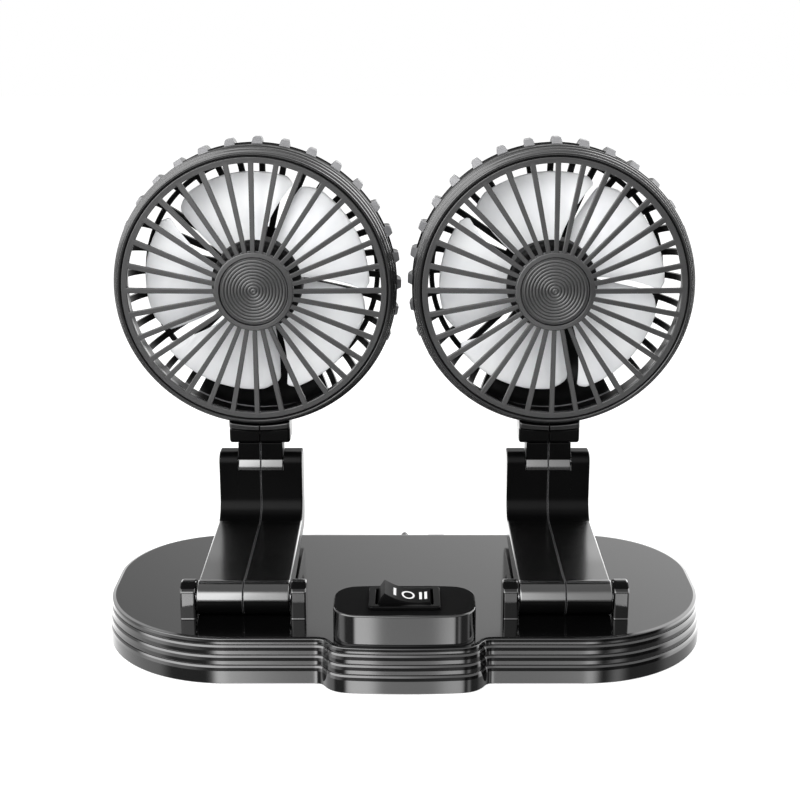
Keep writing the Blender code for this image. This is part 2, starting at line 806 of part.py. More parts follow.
def fork_outline():
    """The fork's slot: a round pocket for the tab's barrel, open above, with a low lip in front."""
    pocket = TAB_THICKNESS / 2 + TURN_GAP
    reach = UPRIGHT_THICKNESS / 2 + OVERRUN
    angle = math.degrees(math.asin(LIP_DROP / pocket))
    high = CHEEK_TOP + OVERRUN
    outline = [(-reach, high), (-reach, -LIP_DROP)]
    outline += arc((0, 0), pocket, 180 + angle, 270, CORNER_STEPS)
    outline += [(reach, -pocket), (reach, high)]
    return [(y + ARM_REACH, z + ARM_RISE) for y, z in outline]


def screw_places():
    return [(ARM_SCREW_Y + i * ARM_SCREW_STEP, ARM_SCREW_Z) for i in range(2)]


def make_arm(side, sign, fold):
    """Two half shells that meet on the arm's middle plane. sign is -1 on the left and 1 on the right."""
    half_gap = GAP / 2
    half_width = BAR_WIDTH / 2 - half_gap
    plate = flat([arm_outline()], half_width)
    inner_width = BAR_WIDTH - 2 * ARM_WALL
    shared = [
        cutter(f"arm_hollow_{side}", flat([arm_hollow_outline()], inner_width), fold, (0, 0, 0), ALONG_X),
        cutter(
            f"fork_{side}", flat([fork_outline()], TAB_WIDTH + 2 * TURN_GAP), fold, (0, 0, 0), ALONG_X
        ),
        cutter(
            f"fold_bore_{side}",
            cylinder(FOLD_PIN_RADIUS + GAP, ARM_WIDTH + 2 * OVERRUN),
            fold,
            (0, 0, 0),
            ALONG_X,
        ),
        cutter(
            f"tilt_bore_{side}",
            cylinder(TILT_PIN_RADIUS + GAP, TAB_WIDTH + 2 * (TILT_PIN_BITE + TURN_GAP + GAP)),
            fold,
            (0, ARM_REACH, ARM_RISE),
            ALONG_X,
        ),
    ]
    shanks = cylinder(SCREW_SHANK + GAP, inner_width, SCREW_STEPS)
    shank_group = gathered([placed(shanks, (y, z, 0)) for y, z in screw_places()])
    heads = cylinder(SCREW_HEAD + GAP, 2 * (SCREW_HEAD_HEIGHT + GAP), SCREW_STEPS)
    head_group = gathered([placed(heads, (y, z, 0)) for y, z in screw_places()])
    inner_face = -sign * BAR_WIDTH / 2
    for name, at in (("inner", -sign), ("outer", sign)):
        middle = at * (half_width / 2 + half_gap)
        half = part(f"arm_{name}_{side}", plate, GLOSS, fold, (middle, 0, 0), ALONG_X)
        cut(half, *shared)
        post_middle = at * (inner_width / 4 + half_gap)
        post_half = flat_posts(inner_width / 2 - half_gap)
        post = cutter(f"posts_{name}_{side}", post_half, fold, (post_middle, 0, 0), ALONG_X)
        join(half, post)
        cut(half, cutter(f"shanks_{name}_{side}", shank_group, fold, (0, 0, 0), ALONG_X))
    inner = bpy.data.objects[f"arm_inner_{side}"]
    cut(inner, cutter(f"heads_{side}", head_group, fold, (inner_face, 0, 0), ALONG_X))
    thin = cylinder(SCREW_SHANK + GAP, 2 * ARM_WALL + 2 * OVERRUN, SCREW_STEPS)
    thin_group = gathered([placed(thin, (y, z, 0)) for y, z in screw_places()])
    cut(inner, cutter(f"inner_shanks_{side}", thin_group, fold, (inner_face, 0, 0), ALONG_X))
    merge_flats(inner)
    merge_flats(bpy.data.objects[f"arm_outer_{side}"])
    make_pins(side, fold)
    for count, (y, z) in enumerate(screw_places(), 1):
        place = (inner_face + sign * GAP, y, z)
        make_screw(f"arm_screw_{count}_{side}", ARM_SCREW_LENGTH, fold, place, (0, sign * math.pi / 2, 0))


def flat_posts(length):
    post = cylinder(SCREW_HEAD, length, SCREW_STEPS)
    return gathered([placed(post, (y, z, 0)) for y, z in screw_places()])


def make_pins(side, fold):
    """The fold and tilt pins."""
    length = ARM_WIDTH + 2 * FOLD_PIN_BITE
    part(f"fold_pin_{side}", cylinder(FOLD_PIN_RADIUS, length), STEEL, fold, (0, 0, 0), ALONG_X)
    length = TAB_WIDTH + 2 * TILT_PIN_BITE
    part(
        f"tilt_pin_{side}",
        cylinder(TILT_PIN_RADIUS, length),
        STEEL,
        fold,
        (0, ARM_REACH, ARM_RISE),
        ALONG_X,
    )


# Necks, drawn from the tilt axis

def post_profile(grow):
    """The swivel post, a rod with a flange at each end, or with grow the room around it."""
    low, high = POST_LOW - grow, POST_HIGH + grow
    step = POST_FLANGE_HEIGHT + 2 * grow
    return [
        (0, high),
        (POST_FLANGE + grow, high),
        (POST_FLANGE + grow, high - step),
        (POST_RADIUS + grow, high - step),
        (POST_RADIUS + grow, low + step),
        (POST_FLANGE + grow, low + step),
        (POST_FLANGE + grow, low),
        (0, low),
    ]


def tab_outline():
    half = TAB_THICKNESS / 2
    return arc((0, 0), half, 180, 360, 2 * CORNER_STEPS) + [(half, TAB_TOP), (-half, TAB_TOP)]


def make_neck(side, tilt):
    half_gap = GAP / 2
    post_room = turned(f"post_room_{side}", post_profile(GAP), PIN_STEPS, None, tilt)
    pin_room = cutter(
        f"tab_bore_{side}",
        cylinder(TILT_PIN_RADIUS + GAP, TAB_WIDTH + 2 * OVERRUN),
        tilt,
        (0, 0, 0),
        ALONG_X,
    )
    width = TAB_WIDTH / 2 - half_gap
    for name, at in (("left", -1), ("right", 1)):
        tab = part(
            f"tab_{name}_{side}",
            flat([tab_outline()], width),
            GLOSS,
            tilt,
            (at * (width / 2 + half_gap), 0, 0),
            ALONG_X,
        )
        cut(tab, post_room, pin_room)
    turned(f"swivel_post_{side}", post_profile(0), PIN_STEPS, STEEL, tilt)
    return post_room


def saddle_profile():
    """The head's room in the bracket: the ring, and behind it the start of the wider cage."""
    front, back = axial(GRILLE_DEPTH), axial(CAGE_FLARE + CAGE_WALL)
    wide = axial(GRILLE_DEPTH + 8 * TERRACE_EDGE)
    profile = [(0, front), (HEAD_RADIUS, front), (HEAD_RADIUS, wide)]
    profile += [(RING_BACK_RADIUS, axial(RING_BACK)), (RING_BACK_RADIUS, axial(SPIGOT_BACK - GAP))]
    profile += [(CAGE_RADIUS, axial(CAGE_FLARE - GAP)), (CAGE_RADIUS, back)]
    return [(0, front)] + [(r + GAP, z) for r, z in profile[1:]] + [(0, back)]


def make_bracket(side, swivel, post_room):
    """Two halves clamped round the post, saddled to the head's round underside."""
    bottom = TAB_TOP + GAP
    half_gap = GAP / 2
    width = BRACKET_WIDTH / 2 - half_gap
    saddle = turned(
        f"saddle_{side}", saddle_profile(), 2 * RING_STEPS, None, swivel, (0, 0, HEAD_RISE), ALONG_Y
    )
    for name, at in (("left", -1), ("right", 1)):
        place = (at * (width / 2 + half_gap), 0, (bottom + BRACKET_TOP) / 2)
        half = part(
            f"bracket_{name}_{side}",
            block(width, BRACKET_THICKNESS, BRACKET_TOP - bottom),
            GLOSS,
            swivel,
            place,
        )
        bevel(half, BRACKET_EDGE, 1)
        cut(half, post_room, saddle)


# Heads, turned about an axis that points to the front; depth is measured back from the front plane

def axial(depth):
    return HEAD_FORWARD - depth


def ring_profile():
    """The bezel ring: a lip round the grille, two terraces and a wall, with a ledge inside for the grille."""
    seat = GRILLE_RADIUS + GAP
    ledge = GRILLE_DEPTH + GRILLE_THICKNESS + GAP
    first = (HEAD_RADIUS - seat) * 0.45 + seat
    second = (HEAD_RADIUS - seat) * 0.82 + seat
    low = GRILLE_DEPTH + TERRACE_EDGE
    wall = HEAD_RADIUS - RING_WALL
    ledge_back = ledge + RING_LEDGE
    depths = [
        (seat, low),
        (first - TERRACE_EDGE, GRILLE_DEPTH),
        (first, low),
        (first, low + 3 * TERRACE_EDGE),
        (second, low + 4 * TERRACE_EDGE),
        (second, low + 6 * TERRACE_EDGE),
        (HEAD_RADIUS, low + 7 * TERRACE_EDGE),
        (RING_BACK_RADIUS, RING_BACK),
        (wall, RING_BACK),
        (wall, ledge_back),
        (GRILLE_OPENING + GAP, ledge_back),
        (GRILLE_OPENING + GAP, ledge),
        (seat, ledge),
    ]
    return [(radius, axial(depth)) for radius, depth in depths]


def cage_profile():
    """The rear cage: a spigot inside the ring, a wall that flares and then rounds into a flat back."""
    spigot = HEAD_RADIUS - RING_WALL - GAP
    thin = spigot - SPIGOT_WALL
    inner = CAGE_RADIUS - CAGE_WALL
    centre = (CAGE_RADIUS - CAGE_CORNER, CAGE_DEPTH - CAGE_CORNER)
    floor = CAGE_DEPTH - CAGE_WALL
    depths = [(0, floor)] + arc(centre, CAGE_CORNER - CAGE_WALL, 90, 0, CORNER_STEPS)
    depths += [(inner, CAGE_FLARE), (thin, SPIGOT_BACK), (thin, SPIGOT_FRONT)]
    depths += [(spigot, SPIGOT_FRONT), (spigot, RING_BACK + GAP)]
    depths += [(RING_BACK_RADIUS, RING_BACK + GAP)]
    depths += [(RING_BACK_RADIUS, SPIGOT_BACK), (CAGE_RADIUS, CAGE_FLARE)]
    depths += arc(centre, CAGE_CORNER, 0, 90, CORNER_STEPS) + [(0, CAGE_DEPTH)]
    return [(radius, axial(depth)) for radius, depth in depths]


def polar(radius, angle):
    """A point at an angle that runs clockwise from the top, as seen from the front."""
    return (radius * math.sin(angle), radius * math.cos(angle))


def bar_gaps(inner, outer, thickness):
    """Gaps between parallel-sided bars, from inner to outer radius. Those round the bottom stay closed."""
    pitch = 2 * math.pi / RIBS
    apex = thickness / 2 / math.sin(pitch / 2)
    gaps = []
    for i in range(RIBS):
        angle = RIB_START + (i + 0.5) * pitch
        if abs(angle - math.pi) < SOLID_ANGLE:
            continue
        corners = []
        for radius, side in ((inner, -1), (inner, 1), (outer, 1), (outer, -1)):
            half = (radius - apex) * math.tan(pitch / 2) * side
            x, y = polar(radius, angle)
            corners.append((x + half * math.cos(angle), y - half * math.sin(angle)))
        gaps.append(corners)
    return gaps


def make_rear_housing(side, head):
    turn = (0, 0, math.pi / RIBS - RIB_START)
    housing = turned(f"rear_housing_{side}", cage_profile(), RIBS, CAGE, head, (0, 0, 0), turn)
    side_gaps = bar_gaps(BACK_RING, CAGE_RADIUS + OVERRUN, RIB_THICKNESS)
    back_gaps = bar_gaps(STRUT_HUB, BACK_RING - BACK_RING_WIDTH, STRUT_THICKNESS)
    depth = CAGE_DEPTH - RIB_FRONT + OVERRUN
    middle = axial(RIB_FRONT + depth / 2)
    ribs = cutter(f"rib_gaps_{side}", flat(side_gaps, depth), head, (0, 0, middle))
    depth = CAGE_CORNER / 4 + 2 * OVERRUN
    middle = axial(CAGE_DEPTH + OVERRUN - depth / 2)
    struts = cutter(f"strut_gaps_{side}", flat(back_gaps, depth), head, (0, 0, middle))
    cut(housing, ribs, struts)
    merge_flats(housing)


def spoke_gaps():
    pitch = 2 * math.pi / SPOKES
    inner = GRILLE_HUB - GAP
    near = SPOKE_INNER_WIDTH / 2 / inner
    far = SPOKE_OUTER_WIDTH / 2 / GRILLE_OPENING
    gaps = []
    for i in range(SPOKES):
        start, end = i * pitch, (i + 1) * pitch
        near_side = [polar(inner, start + near), polar(GRILLE_OPENING, start + far)]
        far_side = [polar(GRILLE_OPENING, end - far), polar(inner, end - near)]
        gaps.append(near_side + far_side)
    return gaps


def make_grille(side, head):
    """Spokes that rise a little from the rim to a round hub with a recess for the cap."""
    rim = circle((0, 0), GRILLE_RADIUS, SPOKES)
    middle = circle((0, 0), (CAP_RADIUS + GRILLE_HUB) / 2, PIN_STEPS)
    mesh = flat([rim, middle] + spoke_gaps(), GRILLE_THICKNESS)
    for vertex in mesh.vertices:
        radius = math.hypot(vertex.co.x, vertex.co.y)
        share = (GRILLE_OPENING - radius) / (GRILLE_OPENING - GRILLE_HUB)
        vertex.co.z += GRILLE_DOME * min(max(share, 0), 1)
    middle = axial(GRILLE_DEPTH + GRILLE_THICKNESS / 2)
    grille = part(f"front_grille_{side}", mesh, SATIN, head, (0, 0, middle))
    seat = CAP_RADIUS + GAP
    profile = [
        (0, HUB_FRONT + HUB_RECESS),
        (seat, HUB_FRONT + HUB_RECESS),
        (seat, HUB_FRONT),
        (GRILLE_HUB, HUB_FRONT + GAP),
        (GRILLE_HUB, HUB_BACK),
        (0, HUB_BACK),
    ]
    hub = turned(
        f"grille_hub_{side}", [(r, axial(d)) for r, d in profile], HUB_STEPS, None, head
    )
    join(grille, hub)
    merge_flats(grille)
    make_cap(side, head)


def make_cap(side, head):
    back = HUB_FRONT + HUB_RECESS - GAP
    step = CAP_RADIUS / (CAP_RINGS + 0.5)
    profile = [(0, CAP_DEPTH)]
    for i in range(CAP_RINGS):
        profile.append(((i + 0.5) * step, CAP_DEPTH - CAP_RING_HEIGHT))
        profile.append(((i + 1) * step, CAP_DEPTH))
    profile += [(CAP_RADIUS, CAP_DEPTH), (CAP_RADIUS, back), (0, back)]
    turned(f"grille_cap_{side}", [(r, axial(d)) for r, d in profile], HUB_STEPS, SATIN, head)


def make_motor(side, head):
    back = CAGE_DEPTH - CAGE_WALL - GAP
    bore = SHAFT_RADIUS + GAP
    profile = [
        (0, SHAFT_BACK + GAP),
        (bore, SHAFT_BACK + GAP),
        (bore, MOTOR_FRONT),
        (MOTOR_RADIUS - MOTOR_EDGE, MOTOR_FRONT),
        (MOTOR_RADIUS, MOTOR_FRONT + MOTOR_EDGE),
        (MOTOR_RADIUS, back),
        (0, back),
    ]
    turned(f"motor_{side}", [(r, axial(d)) for r, d in profile], PIN_STEPS, STEEL, head)


def blade(start):
    """One blade: a swept, pitched sheet from inside the hub's wall to the tip, given its thickness."""
    inner, outer = IMPELLER_HUB - IMPELLER_WALL / 2, BLADE_RADIUS
    rows, columns = 3, 4
    bm = bmesh.new()
    grid = []
    for i in range(rows + 1):
        out = i / rows
        radius = inner + (outer - inner) * out
        line = []
        for j in range(columns + 1):
            along = j / columns
            near_tip = max(out - TIP_START_SHARE, 0) / (1 - TIP_START_SHARE)
            near_edge = max(TIP_EDGE_SHARE - along, 0) / TIP_EDGE_SHARE
            angle = start + BLADE_SWEEP * out + BLADE_SPAN * along
            angle += BLADE_TIP_CORNER * near_tip * near_edge
            bow = math.sin(math.pi * along) * BLADE_THICKNESS
            height = BLADE_RISE * (along - 0.5) * (1 - BLADE_TWIST_SHARE * out) + bow
            x, y = polar(radius, angle)
            line.append(bm.verts.new((x, y, axial(BLADE_FRONT + BLADE_RISE / 2) + height)))
        grid.append(line)
    for low, high in zip(grid, grid[1:]):
        for j in range(columns):
            bm.faces.new((low[j], low[j + 1], high[j + 1], high[j]))
    bmesh.ops.recalc_face_normals(bm, faces=bm.faces)
    bmesh.ops.solidify(bm, geom=bm.faces[:], thickness=BLADE_THICKNESS)
    return mesh_of(bm, "blade")


def make_impeller(side, spin):
    bore = SHAFT_RADIUS + GAP
    inner = IMPELLER_HUB - IMPELLER_WALL
    floor = IMPELLER_FRONT + IMPELLER_WALL
    profile = [
        (0, IMPELLER_FRONT),
        (IMPELLER_HUB - IMPELLER_EDGE, IMPELLER_FRONT),
        (IMPELLER_HUB - IMPELLER_EDGE / 4, IMPELLER_FRONT + IMPELLER_EDGE / 4),
        (IMPELLER_HUB, IMPELLER_FRONT + IMPELLER_EDGE),
        (IMPELLER_HUB, IMPELLER_BACK),
        (inner, IMPELLER_BACK),
        (inner, floor),
        (IMPELLER_BOSS, floor),
        (IMPELLER_BOSS, IMPELLER_BOSS_BACK),
        (bore, IMPELLER_BOSS_BACK),
        (bore, SHAFT_FRONT - GAP),
        (0, SHAFT_FRONT - GAP),
    ]
    impeller = turned(
        f"impeller_{side}", [(r, axial(d)) for r, d in profile], HUB_STEPS, WHITE, spin
    )
    pitch = 2 * math.pi / BLADES
    blades = gathered([blade(BLADE_START + i * pitch) for i in range(BLADES)])
    join(impeller, cutter(f"blades_{side}", blades, spin))
    merge_flats(impeller)
    length = SHAFT_BACK - SHAFT_FRONT
    part(
        f"motor_shaft_{side}",
        cylinder(SHAFT_RADIUS, length),
        STEEL,
        spin,
        (0, 0, axial(SHAFT_FRONT + length / 2)),
    )


def make_head(side, head):
    turned(
        f"bezel_ring_{side}", ring_profile(), RING_STEPS, SATIN, head, (0, 0, 0), (0, 0, 0), True
    )
    make_rear_housing(side, head)
    make_grille(side, head)
    make_motor(side, head)
    make_impeller(side, anchor(f"spin_axis_{side}", head, (0, 0, 0)))


# Cord

def smooth_path(route, per_span):
    """Points on a smooth curve through the route's points."""
    points = [Vector(place) for place in route]
    ends = [2 * points[0] - points[1]] + points + [2 * points[-1] - points[-2]]
    path = []
    for a, b, c, d in zip(ends, ends[1:], ends[2:], ends[3:]):
        for i in range(per_span):
            t = i / per_span
            path.append(
                b + (c - a) * t / 2 + (2 * a - 5 * b + 4 * c - d) * t * t / 2
                + (3 * b - a - 3 * c + d) * t * t * t / 2
            )
    return [tuple(point) for point in path] + [tuple(points[-1])]


def hank_path():
    """A flat hank: long runs joined by half turns that widen by a step at one end, from the inside out."""
    right, left = HANK_X + HANK_RUN / 2, HANK_X - HANK_RUN / 2
    path = [(HANK_START_X, HANK_Y + HANK_RADIUS, CORD_Z)]
    for loop in range(HANK_LOOPS):
        radius = HANK_RADIUS + loop * HANK_STEP
        turn = arc((right, HANK_Y), radius, 90, -90, HANK_TURN_STEPS)
        path += [(x, y, CORD_Z) for x, y in turn]
        if loop == HANK_LOOPS - 1:
            path.append((HANK_END_X, HANK_Y - radius, CORD_Z))
            return path
        centre = (left, HANK_Y + HANK_STEP / 2)
        turn = arc(centre, radius + HANK_STEP / 2, -90, -270, HANK_TURN_STEPS)
        path += [(x, y, CORD_Z) for x, y in turn]


def least_gap(path, radius):
    """The least clear space between stretches of the tube that are not neighbours along it."""
    fine = []
    for a, b in zip(path, path[1:]):
        start, end = Vector(a), Vector(b)
        count = max(1, round((end - start).length / radius))
        fine += [start.lerp(end, i / count) for i in range(count)]
    skip = 8
    least = min(
        (fine[i] - fine[j]).length for i in range(len(fine)) for j in range(i + skip, len(fine))
    )
    return least - 2 * radius


def make_boot():
    """A strain relief that grips the rear wall between two flanges and tapers towards the cord."""
    outer = REAR_WALL_Y + GAP
    inner = REAR_Y - BASE_WALL - GAP
    end = outer + BOOT_FLANGE_WIDTH + BOOT_LENGTH
    depths = [
        (0, end),
        (BOOT_TIP, end),
        (BOOT_NECK, outer + BOOT_FLANGE_WIDTH),
        (BOOT_FLANGE, outer + BOOT_FLANGE_WIDTH),
        (BOOT_FLANGE, outer),
        (BOOT_NECK, outer),
        (BOOT_NECK, inner),
        (BOOT_FLANGE, inner),
        (BOOT_FLANGE, inner - BOOT_FLANGE_WIDTH),
        (0, inner - BOOT_FLANGE_WIDTH),
    ]
    turn = (-math.pi / 2, 0, 0)
    turned("cord_boot", depths, PIN_STEPS, CORD_BLACK, None, (0, 0, BOOT_HEIGHT), turn)
    return end


def make_cord():
    end = make_boot()
    start = (0, end + GAP, BOOT_HEIGHT)
    hank_start = (HANK_START_X - GAP, HANK_Y + HANK_RADIUS, CORD_Z)
    before = (HANK_START_X - GAP - 2 * CORD_RADIUS, HANK_Y + HANK_RADIUS, CORD_Z)
    route = (start, *CORD_ROUTE, before, hank_start)
    tube = spline_tube("power_cord", smooth_path(route, 2), CORD_RADIUS, 2)
    link("power_cord", tube, CORD_BLACK, None, (0, 0, 0), (0, 0, 0))
    path = hank_path()
    print("least gap in the hank, mm:", round(1000 * least_gap(path, CORD_RADIUS), 2))
    tube = spline_tube("cord_hank", path, CORD_RADIUS, 1)
    link("cord_hank", tube, CORD_BLACK, None, (0, 0, 0), (0, 0, 0))
    make_tie()
    make_plug()


def make_tie():
    clear = 2 * GAP
    width = 2 * (HANK_OUTER + CORD_RADIUS + clear)
    height = 2 * (CORD_RADIUS + clear)
    corner = CORD_RADIUS
    inner = rounded(width, height, corner, 0, 0)
    outer = rounded(width, height, corner, 0, TIE_THICKNESS)
    part("cord_tie", flat([outer, inner], TIE_WIDTH), RUBBER, None, (TIE_X, HANK_Y, CORD_Z), ALONG_X)


def make_plug():
    centre_z = PLUG_HEIGHT / 2 + GAP
    last_y = TAIL_ROUTE[-1][1]
    start = (HANK_END_X - GAP, HANK_Y - HANK_OUTER, CORD_Z)
    after = (HANK_END_X - GAP - 2 * CORD_RADIUS, HANK_Y - HANK_OUTER, CORD_Z)
    end = (PLUG_X + GAP, last_y, centre_z)
    tail = smooth_path((start, after, *TAIL_ROUTE[1:], end), 3)
    tube = spline_tube("cord_tail", tail, CORD_RADIUS, 2)
    link("cord_tail", tube, CORD_BLACK, None, (0, 0, 0), (0, 0, 0))
    body = part(
        "plug_body",
        block(PLUG_LENGTH, PLUG_WIDTH, PLUG_HEIGHT),
        CORD_BLACK,
        None,
        (PLUG_X - PLUG_LENGTH / 2, last_y, centre_z),
    )
    bevel(body, PLUG_EDGE, 2)
    shell_x = PLUG_X - PLUG_LENGTH - GAP - PLUG_SHELL_LENGTH / 2
    shell = part(
        "plug_shell",
        block(PLUG_SHELL_LENGTH, PLUG_SHELL_WIDTH, PLUG_SHELL_HEIGHT),
        STEEL,
        None,
        (shell_x, last_y, centre_z),
    )
    room = block(
        2 * PLUG_SHELL_DEPTH,
        PLUG_SHELL_WIDTH - 2 * PLUG_SHELL_WALL,
        PLUG_SHELL_HEIGHT - 2 * PLUG_SHELL_WALL,
    )
    mouth = (shell_x - PLUG_SHELL_LENGTH / 2, last_y, centre_z)
    cut(shell, cutter("plug_room", room, None, mouth))


# Assembly

def make_side(side, sign):
    fold = anchor(f"fold_axis_{side}", ROOT, (sign * SIDE_SPACING / 2, HINGE_Y, HINGE_Z))
    make_arm(side, sign, fold)
    tilt = anchor(f"tilt_axis_{side}", fold, (0, ARM_REACH, ARM_RISE))
    post_room = make_neck(side, tilt)
    swivel = anchor(f"swivel_axis_{side}", tilt, (0, 0, 0))
    make_bracket(side, swivel, post_room)
    head = anchor(f"head_axis_{side}", swivel, (0, 0, HEAD_RISE), ALONG_Y)
    make_head(side, head)


ROOT = anchor("middle_of_depth", None, (0, -MIDDLE_Y, 0))
make_base_shell()
make_base_plate()
make_board()
make_switch()
make_side("left", -1)
make_side("right", 1)
make_cord()
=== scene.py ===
"""Looks of the dual head car fan. Lengths are in millimetres and become metres when a piece is made."""

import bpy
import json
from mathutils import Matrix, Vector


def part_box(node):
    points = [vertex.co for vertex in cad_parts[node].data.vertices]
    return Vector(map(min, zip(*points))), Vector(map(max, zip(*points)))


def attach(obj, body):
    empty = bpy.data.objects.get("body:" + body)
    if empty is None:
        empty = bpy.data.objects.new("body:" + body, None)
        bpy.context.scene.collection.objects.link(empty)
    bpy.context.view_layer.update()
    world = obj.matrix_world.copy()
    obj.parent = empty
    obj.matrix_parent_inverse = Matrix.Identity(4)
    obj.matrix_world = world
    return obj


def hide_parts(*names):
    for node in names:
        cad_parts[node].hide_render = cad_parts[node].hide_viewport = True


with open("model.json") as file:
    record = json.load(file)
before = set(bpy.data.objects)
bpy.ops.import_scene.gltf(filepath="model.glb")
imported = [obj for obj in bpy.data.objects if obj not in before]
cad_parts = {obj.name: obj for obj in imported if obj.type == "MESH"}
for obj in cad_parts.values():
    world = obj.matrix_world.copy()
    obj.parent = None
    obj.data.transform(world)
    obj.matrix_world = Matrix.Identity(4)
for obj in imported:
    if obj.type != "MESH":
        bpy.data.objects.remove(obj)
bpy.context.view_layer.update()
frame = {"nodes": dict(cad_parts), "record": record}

import json
import math

import bmesh
import bpy
import numpy as np
from mathutils import Vector

MM = 0.001
SIDES = {"left": -1, "right": 1}
# Places in millimetres: a head's middle in X, the fold and tilt axes, a head's axis and front, the switch
# pod, the front of the bulge below it, the boot, the cord's hank with its inner radius, pitch and turns, the
# tail that leaves it and the plug
HEAD_X = 66.8
FOLD_Y, FOLD_Z = -42.7, 27.5
TILT_Y, TILT_Z = 45.5, 58.5
HEAD_Z, HEAD_FRONT = 142.4, 27.9
POD_Y, POD_TOP = -59.2, 33.1
BULGE_FRONT = -77.0
BOOT_END, BOOT_Z = 59.4, 13.5
HANK_Y, HANK_Z = 71.8, 2.8
HANK_INNER, HANK_PITCH, HANK_TURNS = 8, 3.85, 3
TAIL_Y = HANK_Y - HANK_INNER - (HANK_TURNS - 1) * HANK_PITCH
PLUG_Y, PLUG_Z = 59.1, 3.8
RIBS = SPOKES = 32
BLADES = 5
FINE_GRAIN, SATIN_GRAIN = 0.000002, 0.00001
AMBIENT = 0.46


# Camera

def make_camera():
    """Fitted to the photograph: level in X, pitched down and shifted sideways by a few of its pixels."""
    picture_width, sideways, downward = 800, -4.5, 15.8
    data = bpy.data.cameras.new("camera")
    data.lens = 67.5
    data.sensor_width = 36
    data.shift_x = sideways / picture_width
    data.clip_start = 0.02
    camera = bpy.data.objects.new("camera", data)
    camera.location = (0, -0.6227, 0.277)
    camera.rotation_euler = (math.radians(90 - downward), 0, 0)
    bpy.context.scene.collection.objects.link(camera)
    bpy.context.scene.camera = camera


# Node trees written as expressions

class Value:
    """A socket's value: each operator adds one Math node to its tree."""

    def __init__(self, graph, socket):
        self.graph, self.socket = graph, socket

    def math(self, operation, *others):
        values = dict(enumerate((self, *others)))
        return self.graph.node("Math", {"operation": operation}, values)

    def reflected(self, operation, other):
        """The same with the other value first."""
        return self.graph.node("Math", {"operation": operation}, {0: other, 1: self})

    def __add__(self, other):
        return self.math("ADD", other)

    def __sub__(self, other):
        return self.math("SUBTRACT", other)

    def __mul__(self, other):
        return self.math("MULTIPLY", other)

    def __truediv__(self, other):
        return self.math("DIVIDE", other)

    def __radd__(self, other):
        return self.reflected("ADD", other)

    def __rsub__(self, other):
        return self.reflected("SUBTRACT", other)

    def __rmul__(self, other):
        return self.reflected("MULTIPLY", other)

    def __abs__(self):
        return self.math("ABSOLUTE")

    def step(self, start, end):
        """0 below start and 1 above end, with a smooth rise between; it falls where start is the larger."""
        limits = {"Value": self, 1: min(start, end), 2: max(start, end)}
        rise = self.graph.node("MapRange", {"interpolation_type": "SMOOTHSTEP"}, limits)
        return rise if start < end else 1 - rise

    def within(self, low, high, blur):
        """1 between low and high, 0 outside them by more than blur."""
        return self.step(low - blur, low + blur) * self.step(high + blur, high - blur)


class Graph:
    """One node tree, whose nodes all come from node()."""

    def __init__(self, tree):
        self.tree = tree

    def node(self, kind, settings=None, inputs=None, output=0):
        """Adds a node; inputs are values to link or constants to set, and the chosen output comes back."""
        made = self.tree.nodes.new("ShaderNode" + kind)
        for name, value in (settings or {}).items():
            setattr(made, name, value)
        for name, value in (inputs or {}).items():
            if isinstance(value, Value):
                self.tree.links.new(value.socket, made.inputs[name])
            else:
                made.inputs[name].default_value = value
        return Value(self, made.outputs[output])

    def place(self):
        """Object coordinates as one vector."""
        return self.node("TexCoord", output="Object")

    def ray(self, kind):
        """1 for rays of that kind."""
        return self.node("LightPath", output=f"Is {kind} Ray")

    def parts(self, vector):
        """X, Y and Z of a vector."""
        split = self.node("SeparateXYZ", None, {0: vector})
        return [Value(self, socket) for socket in split.socket.node.outputs]

    def noise(self, scale, detail=3):
        """Soft noise of the place, scale cells to a metre."""
        return self.node("TexNoise", None, {"Vector": self.place(), "Scale": scale, "Detail": detail})

    def mix(self, factor, a, b):
        """Colour a at factor 0 and colour b at 1."""
        return self.node("Mix", {"data_type": "RGBA"}, {0: factor, 6: a, 7: b}, 2)

    def bump(self, height, distance):
        """A normal that leans with the height's slope; distance is what a height of 1 stands out."""
        return self.node("Bump", None, {"Height": height, "Distance": distance})


def grey(level):
    """A grey with a trace more blue."""
    return (level, level, min(level * 1.03, 1), 1)


def material(name, build, **constants):
    """A Principled finish: build(graph) returns what varies, and constants are set on their sockets."""
    made = bpy.data.materials.new(name)
    made.use_nodes = True
    shader = made.node_tree.nodes["Principled BSDF"]
    for socket, value in constants.items():
        shader.inputs[socket.replace("_", " ")].default_value = value
    for socket, value in build(Graph(made.node_tree)).items():
        if isinstance(value, Value):
            made.node_tree.links.new(value.socket, shader.inputs[socket])
        else:
            shader.inputs[socket].default_value = value
    return made


def moulded(colour, roughness, spread, grain_scale, grain, crown=0):
    """Moulded plastic: slow haze in colour and roughness over a fine grain in the surface. An arm's faces are
    crowned: they fall away by crown times the square of the distance from the arm's middle, in metres."""

    def build(graph):
        haze = graph.noise(90, 4)
        fine = graph.noise(grain_scale, 2)
        height, distance = fine, grain
        if crown:
            off = abs(abs(graph.parts(graph.place())[0]) - HEAD_X * MM)
            height, distance = fine * grain - off * off * crown, 1
        return {
            "Base Color": graph.mix(haze.step(0.3, 0.7), grey(colour * 0.9), grey(colour * 1.1)),
            "Roughness": roughness + spread * (haze - 0.5) + spread * (fine - 0.5),
            "Normal": graph.bump(height, distance),
        }

    return build


